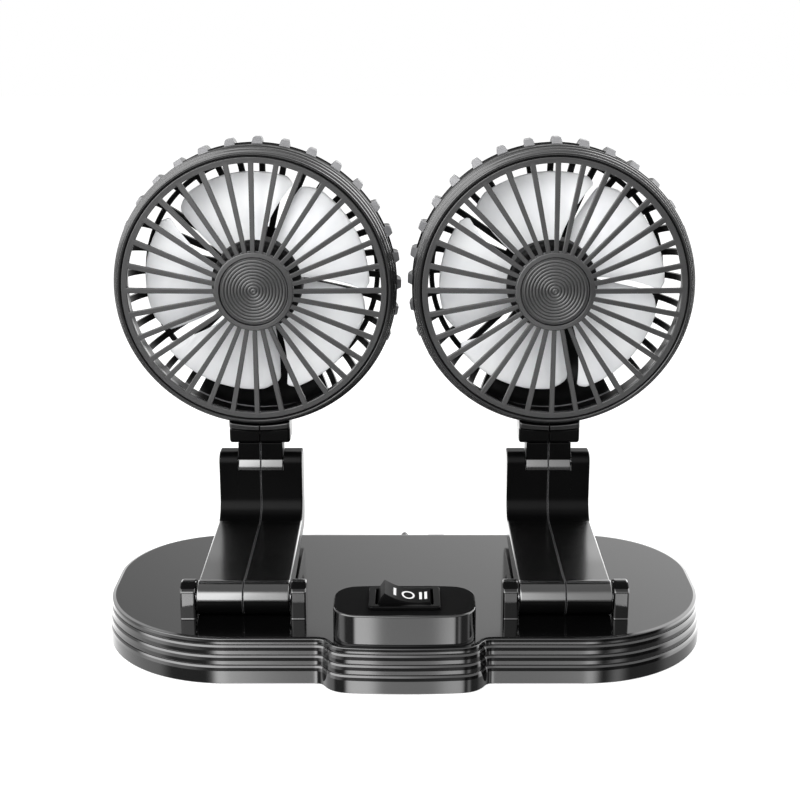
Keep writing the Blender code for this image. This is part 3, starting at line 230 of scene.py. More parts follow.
def brushed(graph):
    """Turned steel: fine rings along the piece and a slow change of polish."""
    haze = graph.noise(140)
    along = graph.parts(graph.place())[1]
    rings = graph.node("TexNoise", {"noise_dimensions": "1D"}, {"W": along * 9000, "Scale": 1, "Detail": 2})
    return {
        "Base Color": graph.mix(haze, (0.52, 0.52, 0.53, 1), (0.66, 0.66, 0.67, 1)),
        "Roughness": 0.24 + 0.12 * haze + 0.1 * (rings - 0.5),
        "Normal": graph.bump(rings, 0.00002),
    }


def blade_white(graph):
    """White plastic that is a little duller in slow patches."""
    haze = graph.noise(60)
    return {
        "Base Color": graph.mix(haze.step(0.3, 0.7), (0.8, 0.81, 0.83, 1), (0.88, 0.89, 0.9, 1)),
        "Roughness": 0.34 + 0.1 * (haze - 0.5),
        "Normal": graph.bump(graph.noise(2400, 2), 0.00001),
    }


def rocker_marks(graph):
    """Black plastic with I, O and II in white on the rocker's top, drawn from distances in X and Y."""
    x, y, z = graph.parts(graph.place())
    x, y = x * 1000, y * 1000 - POD_Y
    reach = abs(y).step(3.7, 3.5)
    bars = sum(abs(x - middle).step(0.6, 0.48) for middle in (-3.9, 6.5, 8.6))
    across, along = (x - 1.5) / 2.25, y / 3.2
    ring = abs((across * across + along * along).math("SQRT") - 1).step(0.2, 0.15)
    mark = (bars * reach + ring).math("MINIMUM", 1) * z.step(0.0335, 0.0338)
    fine = graph.noise(1800, 2)
    return {
        "Base Color": graph.mix(mark, grey(0.003), (0.9, 0.9, 0.9, 1)),
        "Roughness": 0.3 + 0.2 * mark + 0.08 * (fine - 0.5),
        "Normal": graph.bump(fine + mark * 0.5, 0.00001),
    }


def cord_skin(graph):
    """Dull black jacket with a fine die-drawn grain."""
    fine = graph.noise(2600)
    haze = graph.noise(120)
    return {
        "Base Color": graph.mix(haze, grey(0.014), grey(0.028)),
        "Roughness": 0.46 + 0.14 * fine,
        "Normal": graph.bump(fine, 0.00003),
    }


def board_mask(graph):
    """Green lacquer with straight copper tracks."""
    x, y, _ = graph.parts(graph.place())
    track = abs((y * 420).math("FRACT") - 0.5).step(0.34, 0.42) * (x * 60).math("FRACT").step(0.15, 0.2)
    return {
        "Base Color": graph.mix(track, (0.02, 0.13, 0.06, 1), (0.05, 0.22, 0.09, 1)),
        "Roughness": 0.4 - 0.1 * track,
        "Normal": graph.bump(track, 0.00003),
    }


def make_finishes():
    """Every finish by its name. A moulded one is given as colour, roughness, its spread, the grain's scale
    and its depth in metres, the crown and the specular level."""
    moulds = {
        "gloss_black": (0.0012, 0.15, 0.03, 1400, FINE_GRAIN, 1.3, 1.0),
        "bar_black": (0.0012, 0.25, 0.03, 1400, FINE_GRAIN, 1.3, 1.0),
        "upright_black": (0.0014, 0.3, 0.05, 1400, FINE_GRAIN, 0, 0.04),
        "bracket_black": (0.002, 0.2, 0.05, 1400, FINE_GRAIN, 0, 0.4),
        "bezel_black": (0.002, 0.3, 0.05, 1400, FINE_GRAIN, 0, 0.03),
        # A lighter grey for the seams between halves: a painted highlight along their edges.
        "seam_painted_highlight": (0.035, 0.5, 0.05, 1400, FINE_GRAIN, 0, 0.2),
        "base_black": (0.0016, 0.1, 0.03, 1400, 0.000001, 0, 0.5),
        "pod_top_matte": (0.002, 0.62, 0.06, 3200, 0.00002, 0, 0.02),
        "satin_grey": (0.0085, 0.36, 0.08, 3000, SATIN_GRAIN, 0, 0.5),
        "ring_grey": (0.008, 0.2, 0.06, 3000, 0.000005, 0, 0.4),
        "cage_grey": (0.003, 0.34, 0.06, 3000, SATIN_GRAIN, 0, 0.12),
        # A far paler copy of the cage's grey for the outside of its ribs: a painted sheen.
        "rib_painted_sheen": (0.2, 0.4, 0.08, 3000, SATIN_GRAIN, 0, 0.5),
        "hub_dark": (0.003, 0.5, 0.08, 3000, SATIN_GRAIN, 0, 0.1),
        "rubber": (0.022, 0.8, 0.1, 1500, 0.00005, 0, 0.5),
    }
    finishes = {
        name: material(name, moulded(*values), Specular_IOR_Level=specular)
        for name, (*values, specular) in moulds.items()
    }
    finishes["rocker_printed"] = material("rocker_printed", rocker_marks, Specular_IOR_Level=0.01)
    finishes["white_blade"] = material("white_blade", blade_white)
    finishes["steel"] = material("steel", brushed, Metallic=1.0)
    finishes["cord_black"] = material("cord_black", cord_skin)
    finishes["board_green"] = material("board_green", board_mask)
    return finishes


# Outlines and shapes as arrays

def unit(vectors):
    """Each vector at length one."""
    return vectors / np.linalg.norm(vectors, axis=-1, keepdims=True)


def arc(centre, radius, start, end, steps=12, before=0, after=0):
    """Centre plus radius times (cos, sin) from start to end in degrees, with straight bits at its ends."""
    angle = np.radians(np.linspace(start, end, steps + 1))
    points = np.stack([np.cos(angle), np.sin(angle)], 1) * radius + centre
    way = math.copysign(1, end - start)
    tangent = np.stack([-np.sin(angle), np.cos(angle)], 1) * way
    rows = [points]
    if before:
        rows.insert(0, points[:1] - tangent[:1] * before)
    if after:
        rows.append(points[-1:] + tangent[-1:] * after)
    return np.vstack(rows)


def softened(corners, radii, steps=6, hold=0.04, closed=False):
    """Each corner becomes an arc that touches both its edges, radius / tan(half its angle) from the corner,
    with a short straight bit on each side so that the flats beside it stay flat in the shading."""
    points = np.asarray(corners, float)
    radii = np.broadcast_to(np.asarray(radii, float), len(points))
    before, after = np.roll(points, 1, 0) - points, np.roll(points, -1, 0) - points
    if not closed:
        before[0], after[-1] = -after[0], -before[-1]
    before, after = unit(before), unit(after)
    half = np.arccos(np.clip((before * after).sum(1), -1, 1)) / 2
    rows = []
    for p, a, b, h, r in zip(points, before, after, half, radii):
        if r == 0 or h > 1.57:
            rows.append(p[None])
            continue
        reach = r / math.tan(h)
        centre = p + (a + b) / np.linalg.norm(a + b) * r / math.sin(h)
        turn = math.pi - 2 * h
        t = np.linspace(0, 1, steps + 1)[:, None]
        first, last = p + a * reach - centre, p + b * reach - centre
        round_off = centre + (first * np.sin((1 - t) * turn) + last * np.sin(t * turn)) / math.sin(turn)
        rows += [p[None] + a * (reach + hold), round_off, p[None] + b * (reach + hold)]
    return np.vstack(rows)


def anticlockwise(outline):
    """The outline, reversed where its signed area is below zero."""
    x, y = outline.T
    return outline if (x * np.roll(y, -1) - y * np.roll(x, -1)).sum() > 0 else outline[::-1]


def grown(outline, distance):
    """Every point moves along its corner's bisector, as far as keeps the edges `distance` apart."""
    edge = unit(np.roll(outline, -1, 0) - outline)
    normal = np.stack([edge[:, 1], -edge[:, 0]], 1)
    both = np.roll(normal, 1, 0) + normal
    return outline + distance * both * 2 / (both * both).sum(1, keepdims=True)


class Shape:
    """Points in millimetres and the faces between them. Shapes add up, turn and move."""

    def __init__(self, points, faces):
        self.points, self.faces = np.asarray(points, float), faces

    def __add__(self, other):
        shift = len(self.points)
        moved = [[i + shift for i in face] for face in other.faces]
        return Shape(np.vstack([self.points, other.points]), self.faces + moved)

    def to(self, ways, place=(0, 0, 0)):
        """Own (u, v, w) become place + u, v and w times the three ways."""
        return Shape(self.points @ np.asarray(ways, float) + place, self.faces)

    def mirrored(self, side):
        """Flipped in X where side is -1."""
        return Shape(self.points * (side, 1, 1), self.faces)


# What each of u, v and w adds in world X, Y and Z
UPRIGHT = ((1, 0, 0), (0, 1, 0), (0, 0, 1))
SIDE_VIEW = ((0, 1, 0), (0, 0, 1), (1, 0, 0))
FRONT_VIEW = ((1, 0, 0), (0, 0, 1), (0, 1, 0))


def skin(rows, closed=True, ends=True, ring=False):
    """Quads over a grid of rows; closed joins each row's ends, ends caps the first and last row, and ring
    joins the last row to the first."""
    rows = np.asarray(rows, float)
    index = np.arange(rows.shape[0] * rows.shape[1]).reshape(rows.shape[:2])
    right = np.roll(index, -1, 1) if closed else index[:, 1:]
    left = index if closed else index[:, :-1]
    if ring:
        left, right = np.vstack([left, left[:1]]), np.vstack([right, right[:1]])
    quads = np.stack([left[:-1], right[:-1], right[1:], left[1:]], -1).reshape(-1, 4)
    faces = quads.tolist()
    if ends and not ring:
        faces += [index[0][::-1].tolist(), index[-1].tolist()]
    return Shape(rows.reshape(-1, 3), faces)


def lifted(outline, height):
    """A flat outline as points at one height."""
    return np.column_stack([outline, np.full(len(outline), height)])


def slab(outline, low, high, low_edge=0.3, high_edge=0.3, steps=5):
    """An outline in (u, v), thick from low to high in w, whose two rims are rounded over."""
    outline = anticlockwise(outline)
    deep = max(low_edge, high_edge) + 0.1
    profile = softened([(-deep, low), (0, low), (0, high), (-deep, high)], (0, low_edge, high_edge, 0), steps)
    return skin([lifted(grown(outline, inset), height) for inset, height in profile])


def turned(profile, steps=128, ring=False, start=0, end=360):
    """A profile of (radius, depth) carried round an axis: (radius sin a, radius cos a, depth), with a in
    degrees from the top."""
    profile = np.asarray(profile, float)
    whole = end - start == 360
    angle = np.radians(np.linspace(start, end, steps + 1))
    angle = angle[:-1] if whole else angle
    radius, depth = profile[:, :1], profile[:, 1:]
    x, y = radius * np.sin(angle), radius * np.cos(angle)
    rows = np.stack([x, y, depth + 0 * x], -1)
    if whole:
        return skin(rows, True, False, ring)
    shape = skin(rows, False, False, ring)
    index = np.arange(rows.shape[0] * rows.shape[1]).reshape(rows.shape[:2])
    return Shape(shape.points, shape.faces + [index[:, 0].tolist(), index[::-1, -1].tolist()])


def around(shape, angles):
    """Copies of a shape drawn at the top, turned clockwise about the axis by each angle in degrees."""
    total = None
    for angle in np.radians(angles):
        c, s = math.cos(angle), math.sin(angle)
        copy = shape.to(((c, -s, 0), (s, c, 0), (0, 0, 1)))
        total = copy if total is None else total + copy
    return total


def head_place(shape, side):
    """Head shapes are drawn from their axis and front plane, with depth running back."""
    return shape.to(FRONT_VIEW, (side * HEAD_X, HEAD_FRONT, HEAD_Z))


def piece(name, shape, finish, body, replaces=(), sharp=32, others=()):
    """Puts a shape in the scene: doubles merged, faces outwards, smooth but for edges sharper than `sharp`.
    Each of the others is a finish and a test that picks its faces from their middles in millimetres."""
    mesh = bpy.data.meshes.new(name)
    mesh.from_pydata((shape.points * MM).tolist(), [], shape.faces)
    bm = bmesh.new()
    bm.from_mesh(mesh)
    bmesh.ops.remove_doubles(bm, verts=bm.verts, dist=0.000002)
    bmesh.ops.recalc_face_normals(bm, faces=bm.faces)
    bm.to_mesh(mesh)
    bm.free()
    mesh.shade_smooth()
    mesh.set_sharp_from_angle(angle=math.radians(sharp))
    mesh.materials.append(FINISHES[finish])
    obj = bpy.data.objects.new(name, mesh)
    bpy.context.scene.collection.objects.link(obj)
    centres = np.array([face.center for face in mesh.polygons]) / MM
    index = np.zeros(len(centres), np.int32)
    for count, (other, test) in enumerate(others, 1):
        mesh.materials.append(FINISHES[other])
        index[test(centres)] = count
    mesh.polygons.foreach_set("material_index", index)
    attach(obj, body)
    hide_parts(*replaces)
    return obj


# Tests that pick faces by their middles, in millimetres

def from_axis(centres):
    """Sideways, radial and backward distance from the front of the nearer head's axis."""
    off = abs(centres[:, 0]) - HEAD_X
    return off, np.hypot(off, centres[:, 2] - HEAD_Z), centres[:, 1] - HEAD_FRONT


def pod_top_faces(centres):
    """The pod's flat top."""
    return (centres[:, 2] > POD_TOP - 0.01) & (abs(centres[:, 1] - POD_Y) < 15)


def upright_faces(centres):
    """An arm's upright, behind and above its bar."""
    return (centres[:, 1] > FOLD_Y + 72) & (centres[:, 2] > FOLD_Z + 6.25)


def bar_top_faces(centres):
    """The top of an arm's bar and all above it."""
    return (centres[:, 1] > FOLD_Y + 3.6) & (centres[:, 2] > FOLD_Z + 6.1)


def barrel_under_faces(centres):
    """The lower half of the fold's barrel."""
    return (centres[:, 1] < FOLD_Y + 3.6) & (centres[:, 2] < FOLD_Z + 1.1)


def lip_faces(centres):
    """The lip in front of a neck's barrel."""
    return (centres[:, 1] < TILT_Y - 4.6) & (centres[:, 2] < TILT_Z + 2)


def bracket_top_faces(centres):
    """A bracket's roll under the ring."""
    return centres[:, 2] > TILT_Z + 16.3


def seam_faces(centres):
    """The softened edges where two halves meet, painted a lighter grey as a painted highlight."""
    off = abs(from_axis(centres)[0])
    return (off > 0.16) & (off < 0.4)


def rib_faces(centres):
    """The outside of the rear cage's ribs, painted a far paler grey than the cage as a painted sheen."""
    _, radius, depth = from_axis(centres)
    return (radius > 62.2) & (depth > 21) & (radius + depth > 87.0) & (depth < 36)


def ring_wall_faces(centres):
    """The bezel ring's outer wall, behind its terraces."""
    _, radius, depth = from_axis(centres)
    return (radius > 62.4) & (depth > 9.9)


def hub_faces(centres):
    """The impeller's hub."""
    return from_axis(centres)[1] < 20.7


# Base

def eased(outline, blur, count, turn_weight):
    """A closed loop whose curvature starts softly: even small steps, a Gaussian blur along the loop, and then
    `count` points, closer together where the loop turns."""
    steps = 4096
    ring = np.vstack([outline, outline[:1]])
    along = np.concatenate([[0], np.cumsum(np.linalg.norm(np.diff(ring, axis=0), axis=1))])
    even = np.linspace(0, along[-1], steps, endpoint=False)
    fine = np.stack([np.interp(even, along, ring[:, k]) for k in (0, 1)], 1)
    wave = np.fft.rfftfreq(steps, along[-1] / steps)[:, None]
    passed = np.exp(-2 * (math.pi * blur * wave) ** 2)
    fine = np.fft.irfft(np.fft.rfft(fine, axis=0) * passed, steps, axis=0)
    edge = np.diff(np.vstack([fine, fine[:1]]), axis=0)
    heading = np.unwrap(np.arctan2(edge[:, 1], edge[:, 0]))
    turning = abs(np.diff(np.concatenate([heading, heading[-1:]])))
    weight = np.concatenate([[0], np.cumsum(np.linalg.norm(edge, axis=1) + turn_weight * turning)])
    number = np.arange(steps + 1)
    at = np.interp(np.linspace(0, weight[-1], count, endpoint=False), weight, number)
    closed = np.vstack([fine, fine[:1]])
    return np.stack([np.interp(at, number, closed[:, k]) for k in (0, 1)], 1)


def base_outline():
    """The base from above: a slightly swelling bulge in the flat front, whose corner and fillet arcs touch
    the swell and the front, and two corners a side."""
    swell, corner, corner_x, fillet, front = 240, 9.4, 22.8, 3.6, -71.0
    turn = math.degrees(math.asin(corner_x / (swell - corner)))
    middle = BULGE_FRONT + swell - math.sqrt((swell - corner) ** 2 - corner_x**2)
    lean = math.degrees(math.asin((middle - front) / (corner + fillet)))
    fillet_x = corner_x + (corner + fillet) * math.cos(math.radians(lean))
    right = np.vstack([
        arc((0, BULGE_FRONT + swell), swell, -90, turn - 90, 40),
        arc((corner_x, middle), corner, turn - 90, -lean, 40)[1:],
        arc((fillet_x, front), fillet, 180 - lean, 90, 40)[1:],
        arc((73, -13.4), 54, -90, 0, 90),
        arc((80.6, 3.8), 46.4, 0, 90, 90),
    ])
    return eased(np.vstack([right, right[::-1] * (-1, 1)]), blur=1.3, count=640, turn_weight=45)


def base_profile():
    """Growth against height: a plain band below and three beads above, each set in 0.4 mm. Every one leans in
    towards its top, then more steeply, and turns over a tight edge into a groove under the next."""
    corners, radii = [(-1.9, 0.6), (1.2, 0.6)], [0, 0.35]
    for top, grow in ((8.5, 1.2), (12.8, 0.8), (17.1, 0.4)):
        corners += [
            (grow, top - 2.3), (grow - 0.14, top - 0.95), (grow - 0.5, top - 0.15), (grow - 1.0, top),
            (grow - 0.4, top + 0.4),
        ]
        radii += [3.0, 0.4, 0.12, 0.1, 0.3]
    corners += [(0, 18.6), (-0.2, 19.7), (-1.6, 20), (-3, 20)]
    radii += [4.0, 0.5, 0.5, 0]
    return softened(corners, radii, 7, 0.02)


def pod_outline():
    """The pod from above: a front and a back of a large radius, with round corners that touch them."""
    swell, corner, out, half_depth = 240, 9.6, 18.9, 15.6
    turn = math.degrees(math.asin(out / (swell - corner)))
    middle = swell - half_depth - math.sqrt((swell - corner) ** 2 - out**2)
    front = arc((0, swell - half_depth), swell, -90, turn - 90, 30)
    quarter = np.vstack([front, arc((out, middle), corner, turn - 90, 0, 40)[1:]])
    right = np.vstack([quarter, quarter[::-1] * (1, -1)])
    return eased(np.vstack([right, right[::-1] * (-1, 1)]), blur=0.8, count=240, turn_weight=25)


def rounded_box(grow, width, depth, corner):
    """A rectangle with round corners, grown outwards by grow."""
    half_x, half_y = width / 2 - corner, depth / 2 - corner
    rows = []
    for x, y, start in ((1, -1, -90), (1, 1, 0), (-1, 1, 90), (-1, -1, 180)):
        centre = (x * half_x, y * half_y)
        rows.append(arc(centre, corner + grow, start, start + 90, 20, 0.2, 0.2))
    return np.vstack(rows)


def hole_loop(loop, width, depth):
    """Where rays from the middle through the loop's points meet a rectangle."""
    ray = unit(loop)
    reach = np.min(np.array([width, depth]) / 2 / np.maximum(abs(ray), 1e-6), axis=1)
    return ray * reach[:, None]


def pod_shape():
    """The pod's wall, top and inside as one closed ring about the switch's hole, with a line at its foot."""
    outline = pod_outline()
    ceiling, floor, wall = POD_TOP - 2.0, 19.0, -2.2
    rim = [(0.0, floor), (0.0, 20.5), (0.3, 20.75), (0.25, POD_TOP), (wall, POD_TOP)]
    rim = softened(rim, (0, 0.1, 0.15, 0.8, 0), 8)
    rows = [lifted(grown(outline, grow), height) for grow, height in rim]
    hole, inside = hole_loop(outline, 26.9, 19.1), grown(outline, wall)
    rows += [lifted(hole, POD_TOP), lifted(hole, ceiling), lifted(inside, ceiling), lifted(inside, floor)]
    return skin(rows, ring=True).to(UPRIGHT, (0, POD_Y, 0))


def ear_shape(middle):
    """A plate along X whose round top meets flat faces at a crease; each steps out a little at its foot."""
    side = [(6.3, -8.6), (6.3, -7.4), (6.1, -7.0), (6.1, 4.1)]
    side = softened(side, (0, 0.1, 0.1, 0.4), 4, 0.05)
    top = arc((0, 0), 7.5, 37, 90, 24)
    right = np.vstack([side[:-1], [(6.1, 3.95), (6.1, 4.1)], top])
    outline = np.vstack([right, right[-2::-1] * (-1, 1)])
    return slab(outline, middle - 3.2, middle + 3.2, 0.9, 0.9, 6).to(SIDE_VIEW, (0, FOLD_Y, FOLD_Z))


def make_base():
    """The shell with its pod and ears as one piece, and the four feet."""
    outline = base_outline()
    rows = [lifted(grown(outline, grow), height) for grow, height in base_profile()]
    wall, ceiling, bottom = 2.4, 17.6, 0.8
    inner = [lifted(grown(outline, -wall), height) for height in (ceiling, bottom)]
    shape = skin(inner + rows) + pod_shape()
    ear_reach = 22.9
    for side in SIDES.values():
        for reach in (-ear_reach, ear_reach):
            shape += ear_shape(side * HEAD_X + reach)
    others = [("pod_top_matte", pod_top_faces)]
    piece("base_shell_look", shape, "base_black", "base", ["base_shell"], others=others)
    radius, high, hollow = 8, 1.8, 0.3
    corners = [(0, high), (radius, high), (radius, 0), (6.4, 0), (6.1, hollow), (0, hollow)]
    foot = turned(softened(corners, (0, 0.2, 0.5, 0.2, 0.1, 0), 4), 64)
    for count in range(1, 5):
        low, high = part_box(f"foot_{count}")
        place = ((low.x + high.x) / 2 / MM, (low.y + high.y) / 2 / MM, 0)
        piece(f"foot_{count}_look", foot.to(UPRIGHT, place), "rubber", "base", [f"foot_{count}"])


# Switch

def make_switch():
    """The housing is one skin from under its body, out over the bezel's round rim and down into the well."""
    body, bezel, well = (26.2, 18.4, 0.6), (29, 21, 1.6), (23.2, 15.8, 0.7)
    bottom, floor, under, top, lip = 20.05, 21.4, 33.4, 34.8, 1.4
    steps = [(body, bottom), (body, under), (bezel, under)]
    rows = [lifted(rounded_box(0, *size), height) for size, height in steps]
    for grow, height in softened([(0, under), (0, top), (-lip, top)], (0, 0.6, 0), 6)[1:-1]:
        rows.append(lifted(rounded_box(grow, *bezel), height))
    for grow, height in softened([(lip, top), (0, top), (0, floor)], (0, 0.35, 0), 5)[1:]:
        rows.append(lifted(rounded_box(grow, *well), height))
    shape = skin(rows).to(UPRIGHT, (0, POD_Y, 0))
    piece("switch_housing_look", shape, "bezel_black", "base", ["switch_housing"])
    rocker = rocker_shape()
    piece("switch_rocker_look", rocker, "rocker_printed", "rocker", ["switch_rocker"], 28)


def rocker_shape():
    """A slab whose ends are arcs about the pivot and whose top is a shallow parabola, tipped 11 degrees."""
    reach, high, low, tip, half_width = 11.2, 6.2, 3.4, math.radians(11), 7.5
    lift, drop = (math.degrees(math.asin(part / reach)) for part in (high, low))
    share = np.linspace(1, -1, 41)[1:-1, None]
    top = np.hstack([reach * math.cos(math.radians(lift)) * share, 4.3 + 1.9 * share * share])
    right, left = arc((0, 0), reach, -drop, lift, 10), arc((0, 0), reach, 180 - lift, 180 + drop, 10)
    rocker = slab(np.vstack([right, top, left]), -half_width, half_width, 0.5, 0.5).to(FRONT_VIEW)
    c, s, pivot_z = math.cos(tip), math.sin(tip), 31.3
    return rocker.to(((c, 0, -s), (0, 1, 0), (s, 0, c)), (0, POD_Y, pivot_z))


# Arms, drawn from the fold axis, and necks, drawn from the tilt axis

def bar_points():
    """The side view from the barrel's top, round its front and under the bar to the foot of the heel."""
    barrel = 7.2
    top, low = math.degrees(math.asin(6.2 / barrel)), 360 - math.degrees(math.asin(5.0 / barrel))
    return [arc((0, 0), barrel, top, low, 64), arc((87.1, 6.0), 8.0, -90, 0, 24, 0.1, 0.1)]


def cove_points():
    """The cove where the upright meets the bar's top."""
    return arc((72.3, 15.2), 9.0, 0, -90, 24, 0.1, 0.1)


def cheek_outline():
    """The whole side view: bar, heel, the cheek's round top and the cove in front of it."""
    back, front = arc((90.3, 31.5), 4.8, 0, 90, 16, 0.1, 0.1), arc((86.1, 31.5), 4.8, 90, 180, 16, 0.1, 0.1)
    return np.vstack(bar_points() + [back, front, cove_points()])


def saddle_outline():
    """The same view between the cheeks: the tab's round pocket, open behind, with a low lip in front."""
    pocket = 7.0
    angle = math.degrees(math.asin(2.9 / pocket))
    upper = [
        [(95.1, 23.6), (94.7, 24.0), (88.2, 24.0)],
        arc((88.2, 31.0), pocket, 270, 180 + angle, 24)[1:],
        [(81.5, 28.1)],
        cove_points(),
    ]
    return np.vstack(bar_points() + upper)


def make_arm(name, side):
    """Each half is the saddle's slab up to the slot's wall and, flush with it, the cheek's slab beyond."""
    gap, slot_wall, outside, flush = 0.15, 10.65, 19.2, 0.001
    others = [
        ("bar_black", bar_top_faces), ("upright_black", upright_faces), ("upright_black", barrel_under_faces),
        # The seam's edges take a lighter grey, a painted highlight.
        ("seam_painted_highlight", seam_faces),
    ]
    middle = slab(saddle_outline(), gap, slot_wall, 0.25, flush, 4)
    half_arm = (middle + slab(cheek_outline(), slot_wall, outside, flush, 0.7, 6)).to(SIDE_VIEW)
    for half, way in (("inner", -side), ("outer", side)):
        shape = half_arm.mirrored(way).to(UPRIGHT, (side * HEAD_X, FOLD_Y, FOLD_Z))
        node = f"arm_{half}_{name}"
        piece(f"{node}_look", shape, "gloss_black", f"arm_{name}", [node], others=others)


def make_neck(name, side):
    """The tab's halves ride on the neck and the bracket's on the head."""
    # The seam's edges take a lighter grey, a painted highlight.
    tab_others = [("gloss_black", lip_faces), ("seam_painted_highlight", seam_faces)]
    bracket_others = [("bracket_black", bracket_top_faces)]
    for half, way in (("left", -1), ("right", 1)):
        for part, shape, body, others in (
            ("tab", tab_shape(), "neck", tab_others),
            ("bracket", bracket_shape(), "head", bracket_others),
        ):
            shape = shape.mirrored(way).to(UPRIGHT, (side * HEAD_X, TILT_Y, TILT_Z))
            node = f"{part}_{half}_{name}"
            body = f"{body}_{name}"
            piece(f"{node}_look", shape, "upright_black", body, [node], others=others)


def tab_shape():
    """Half a tab: the barrel under a plate that is set back, with a lip between them."""
    outline = np.vstack([
        arc((0, 0), 6.6, 206, 360, 48),
        arc((6.0, 9.7), 0.6, 0, 90, 5, 0.1, 0.1),
        arc((-4.55, 9.7), 0.5, 90, 180, 5, 0.1, 0.1),
        [(-5.05, 2.05)],
        arc((2.16, -2.65), 8.5, 148, 180, 20),
    ])
    return slab(outline, 0.15, 10.25, 0.2, 0.3).to(SIDE_VIEW)


def bracket_shape():
    """Half a bracket, one closed side view per step in X: a plate with a roll along its front under the ring.
    Its top follows the ring, and it draws in round its outer end."""
    low, high, ring_radius, end_radius = 10.6, 19.7, 64.1, 1.3
    corners = [(-6.4, low), (6.6, low), (6.6, high), (-6.6, high), (-7.3, 19.0), (-7.3, 17.0), (-6.4, 16.2)]
    profile = softened(corners, (1.2, 1.0, 0.3, 0.5, 1.2, 0.7, 0.25), 6, 0.03, closed=True)
    share = (profile[:, 1] - low) / (high - low)
    turn = np.radians(np.linspace(0, 90, 9))
    ends = np.concatenate([[0.2, 0], np.zeros(8), end_radius * (1 - np.cos(turn))])
    steps = np.concatenate([[0.15, 0.35], np.linspace(2, 12.5, 8), 12.7 + end_radius * np.sin(turn)])
    rows = []
    for x, draw in zip(steps, ends):
        rise = ring_radius - math.sqrt(ring_radius**2 - x * x)
        y = profile[:, 0] * (1 - draw / 6.6)
        z = profile[:, 1] + share * rise + draw * (1 - share)
        rows.append(np.stack([np.full(len(y), x), y, z], 1))
    return skin(rows)


# Heads

def ring_shape():
    """A lip round the grille, three terraces and a wall that tapers back, with the grille's ledge inside."""
    corners = [
        (59.3, 3.8), (60.0, 3.0), (60.8, 3.0), (61.0, 4.0), (61.0, 5.0), (61.8, 5.2), (62.0, 6.2),
        (62.0, 7.1), (62.7, 7.4), (62.9, 8.6), (62.9, 9.2), (63.5, 9.6), (62.7, 20.5),
        (61.5, 20.5), (61.5, 7.1), (56.7, 7.1), (56.7, 5.1), (59.3, 5.1),
    ]
    radii = [0.1, 0.3, 0.2, 0.2, 0.15, 0.25, 0.2, 0.15, 0.3, 0.2, 0.15, 0.4, 0.3, 0.2, 0.2, 0.2, 0.2, 0.1]
    return turned(softened(corners, radii, 4, 0.02, closed=True), 192, ring=True)


def spoke_shape():
    """A bar with rounded sides that rises to the hub: width and depth are straight lines of the radius."""
    rim, hub, front, rise = 56.4, 17.7, 3.0, 2.2
    radius = np.linspace(hub - 0.9, rim + 1, 14)
    share = np.clip((rim - radius) / (rim - hub), 0, 1)
    section = softened([(-1, 0), (1, 0), (1, 1.8), (-1, 1.8)], (0.25, 0.25, 0.15, 0.15), 4, 0.02, closed=True)
    half_width = 1.0 + 0.2 * (radius - hub) / (rim - hub)
    x = section[:, 0] * half_width[:, None]
    depth = section[:, 1] + (front - rise * share)[:, None]
    return skin(np.stack([x, radius[:, None] + 0 * x, depth], -1))


def grille_shape():
    """A flat rim, a stepped hub that takes the cap, and the spokes between them."""
    rim = softened([(56.4, 3), (59, 3), (59, 4.8), (56.4, 4.8)], 0.3, 4, 0.02, closed=True)
    hub = [(0, 2.6), (15.4, 2.6), (15.4, 0.4), (17.7, 0.6), (17.7, 4.6), (0, 4.6)]
    hub = softened(hub, (0, 0.1, 0.25, 0.5, 0.3, 0), 4, 0.02)
    shape = turned(rim, 192, ring=True) + turned(hub, 128)
    return shape + around(spoke_shape(), np.arange(SPOKES) * 360 / SPOKES)


def cap_shape():
    """A disc with ten fine rings: its front dips by a rounded saw of the radius."""
    ringed, rings, edge, groove, saw, front, back = 14.4, 10, 15.1, 1.28, 0.36, 1.25, 2.3
    radius = np.linspace(0, ringed, 12 * rings + 1)
    wave = abs(np.sin(radius * math.pi * rings / ringed))
    face = np.stack([radius, groove - saw * np.sqrt(wave)], 1)
    side = softened([(ringed, front), (edge, front), (edge, back), (0, back)], (0, 0.25, 0.1, 0), 4, 0.02)
    return turned(np.vstack([face, side]), 96)


def cage_outline():
    """Side view of one rib in (radius, depth): flare, wall, round corner and back, of one thickness."""
    middle, corner, thick, hub = (45.3, 30.3), 20, 2.4, 20.5
    outer = [[(62.3, 22.4), (65.3, 25.2)], arc(middle, corner, 0, 90, 24, 0.1, 0.1), [(hub, 50.3)]]
    inner = [[(hub, 47.9)], arc(middle, corner - thick, 90, 0, 24, 0.1, 0.1), [(62.9, 25.2), (60.2, 22.6)]]
    return np.vstack(outer + inner)


def rib_shape():
    """One rib, twice as wide where it flares out behind the ring and narrower again towards its tip."""
    half_width, flare_end, inside, foot = 1.45, 33, 59, 62.3
    rib = slab(cage_outline(), -half_width, half_width, 0.3, 0.3, 3).to(SIDE_VIEW)
    radius, depth = rib.points[:, 1], rib.points[:, 2]
    flare = np.clip((flare_end - depth) / 7, 0, 1) * np.clip((radius - inside) / 2, 0, 1)
    rib.points[:, 0] *= 1 + flare * np.clip(0.95 - (radius - foot) * 0.2, 0.3, 1.0)
    return rib


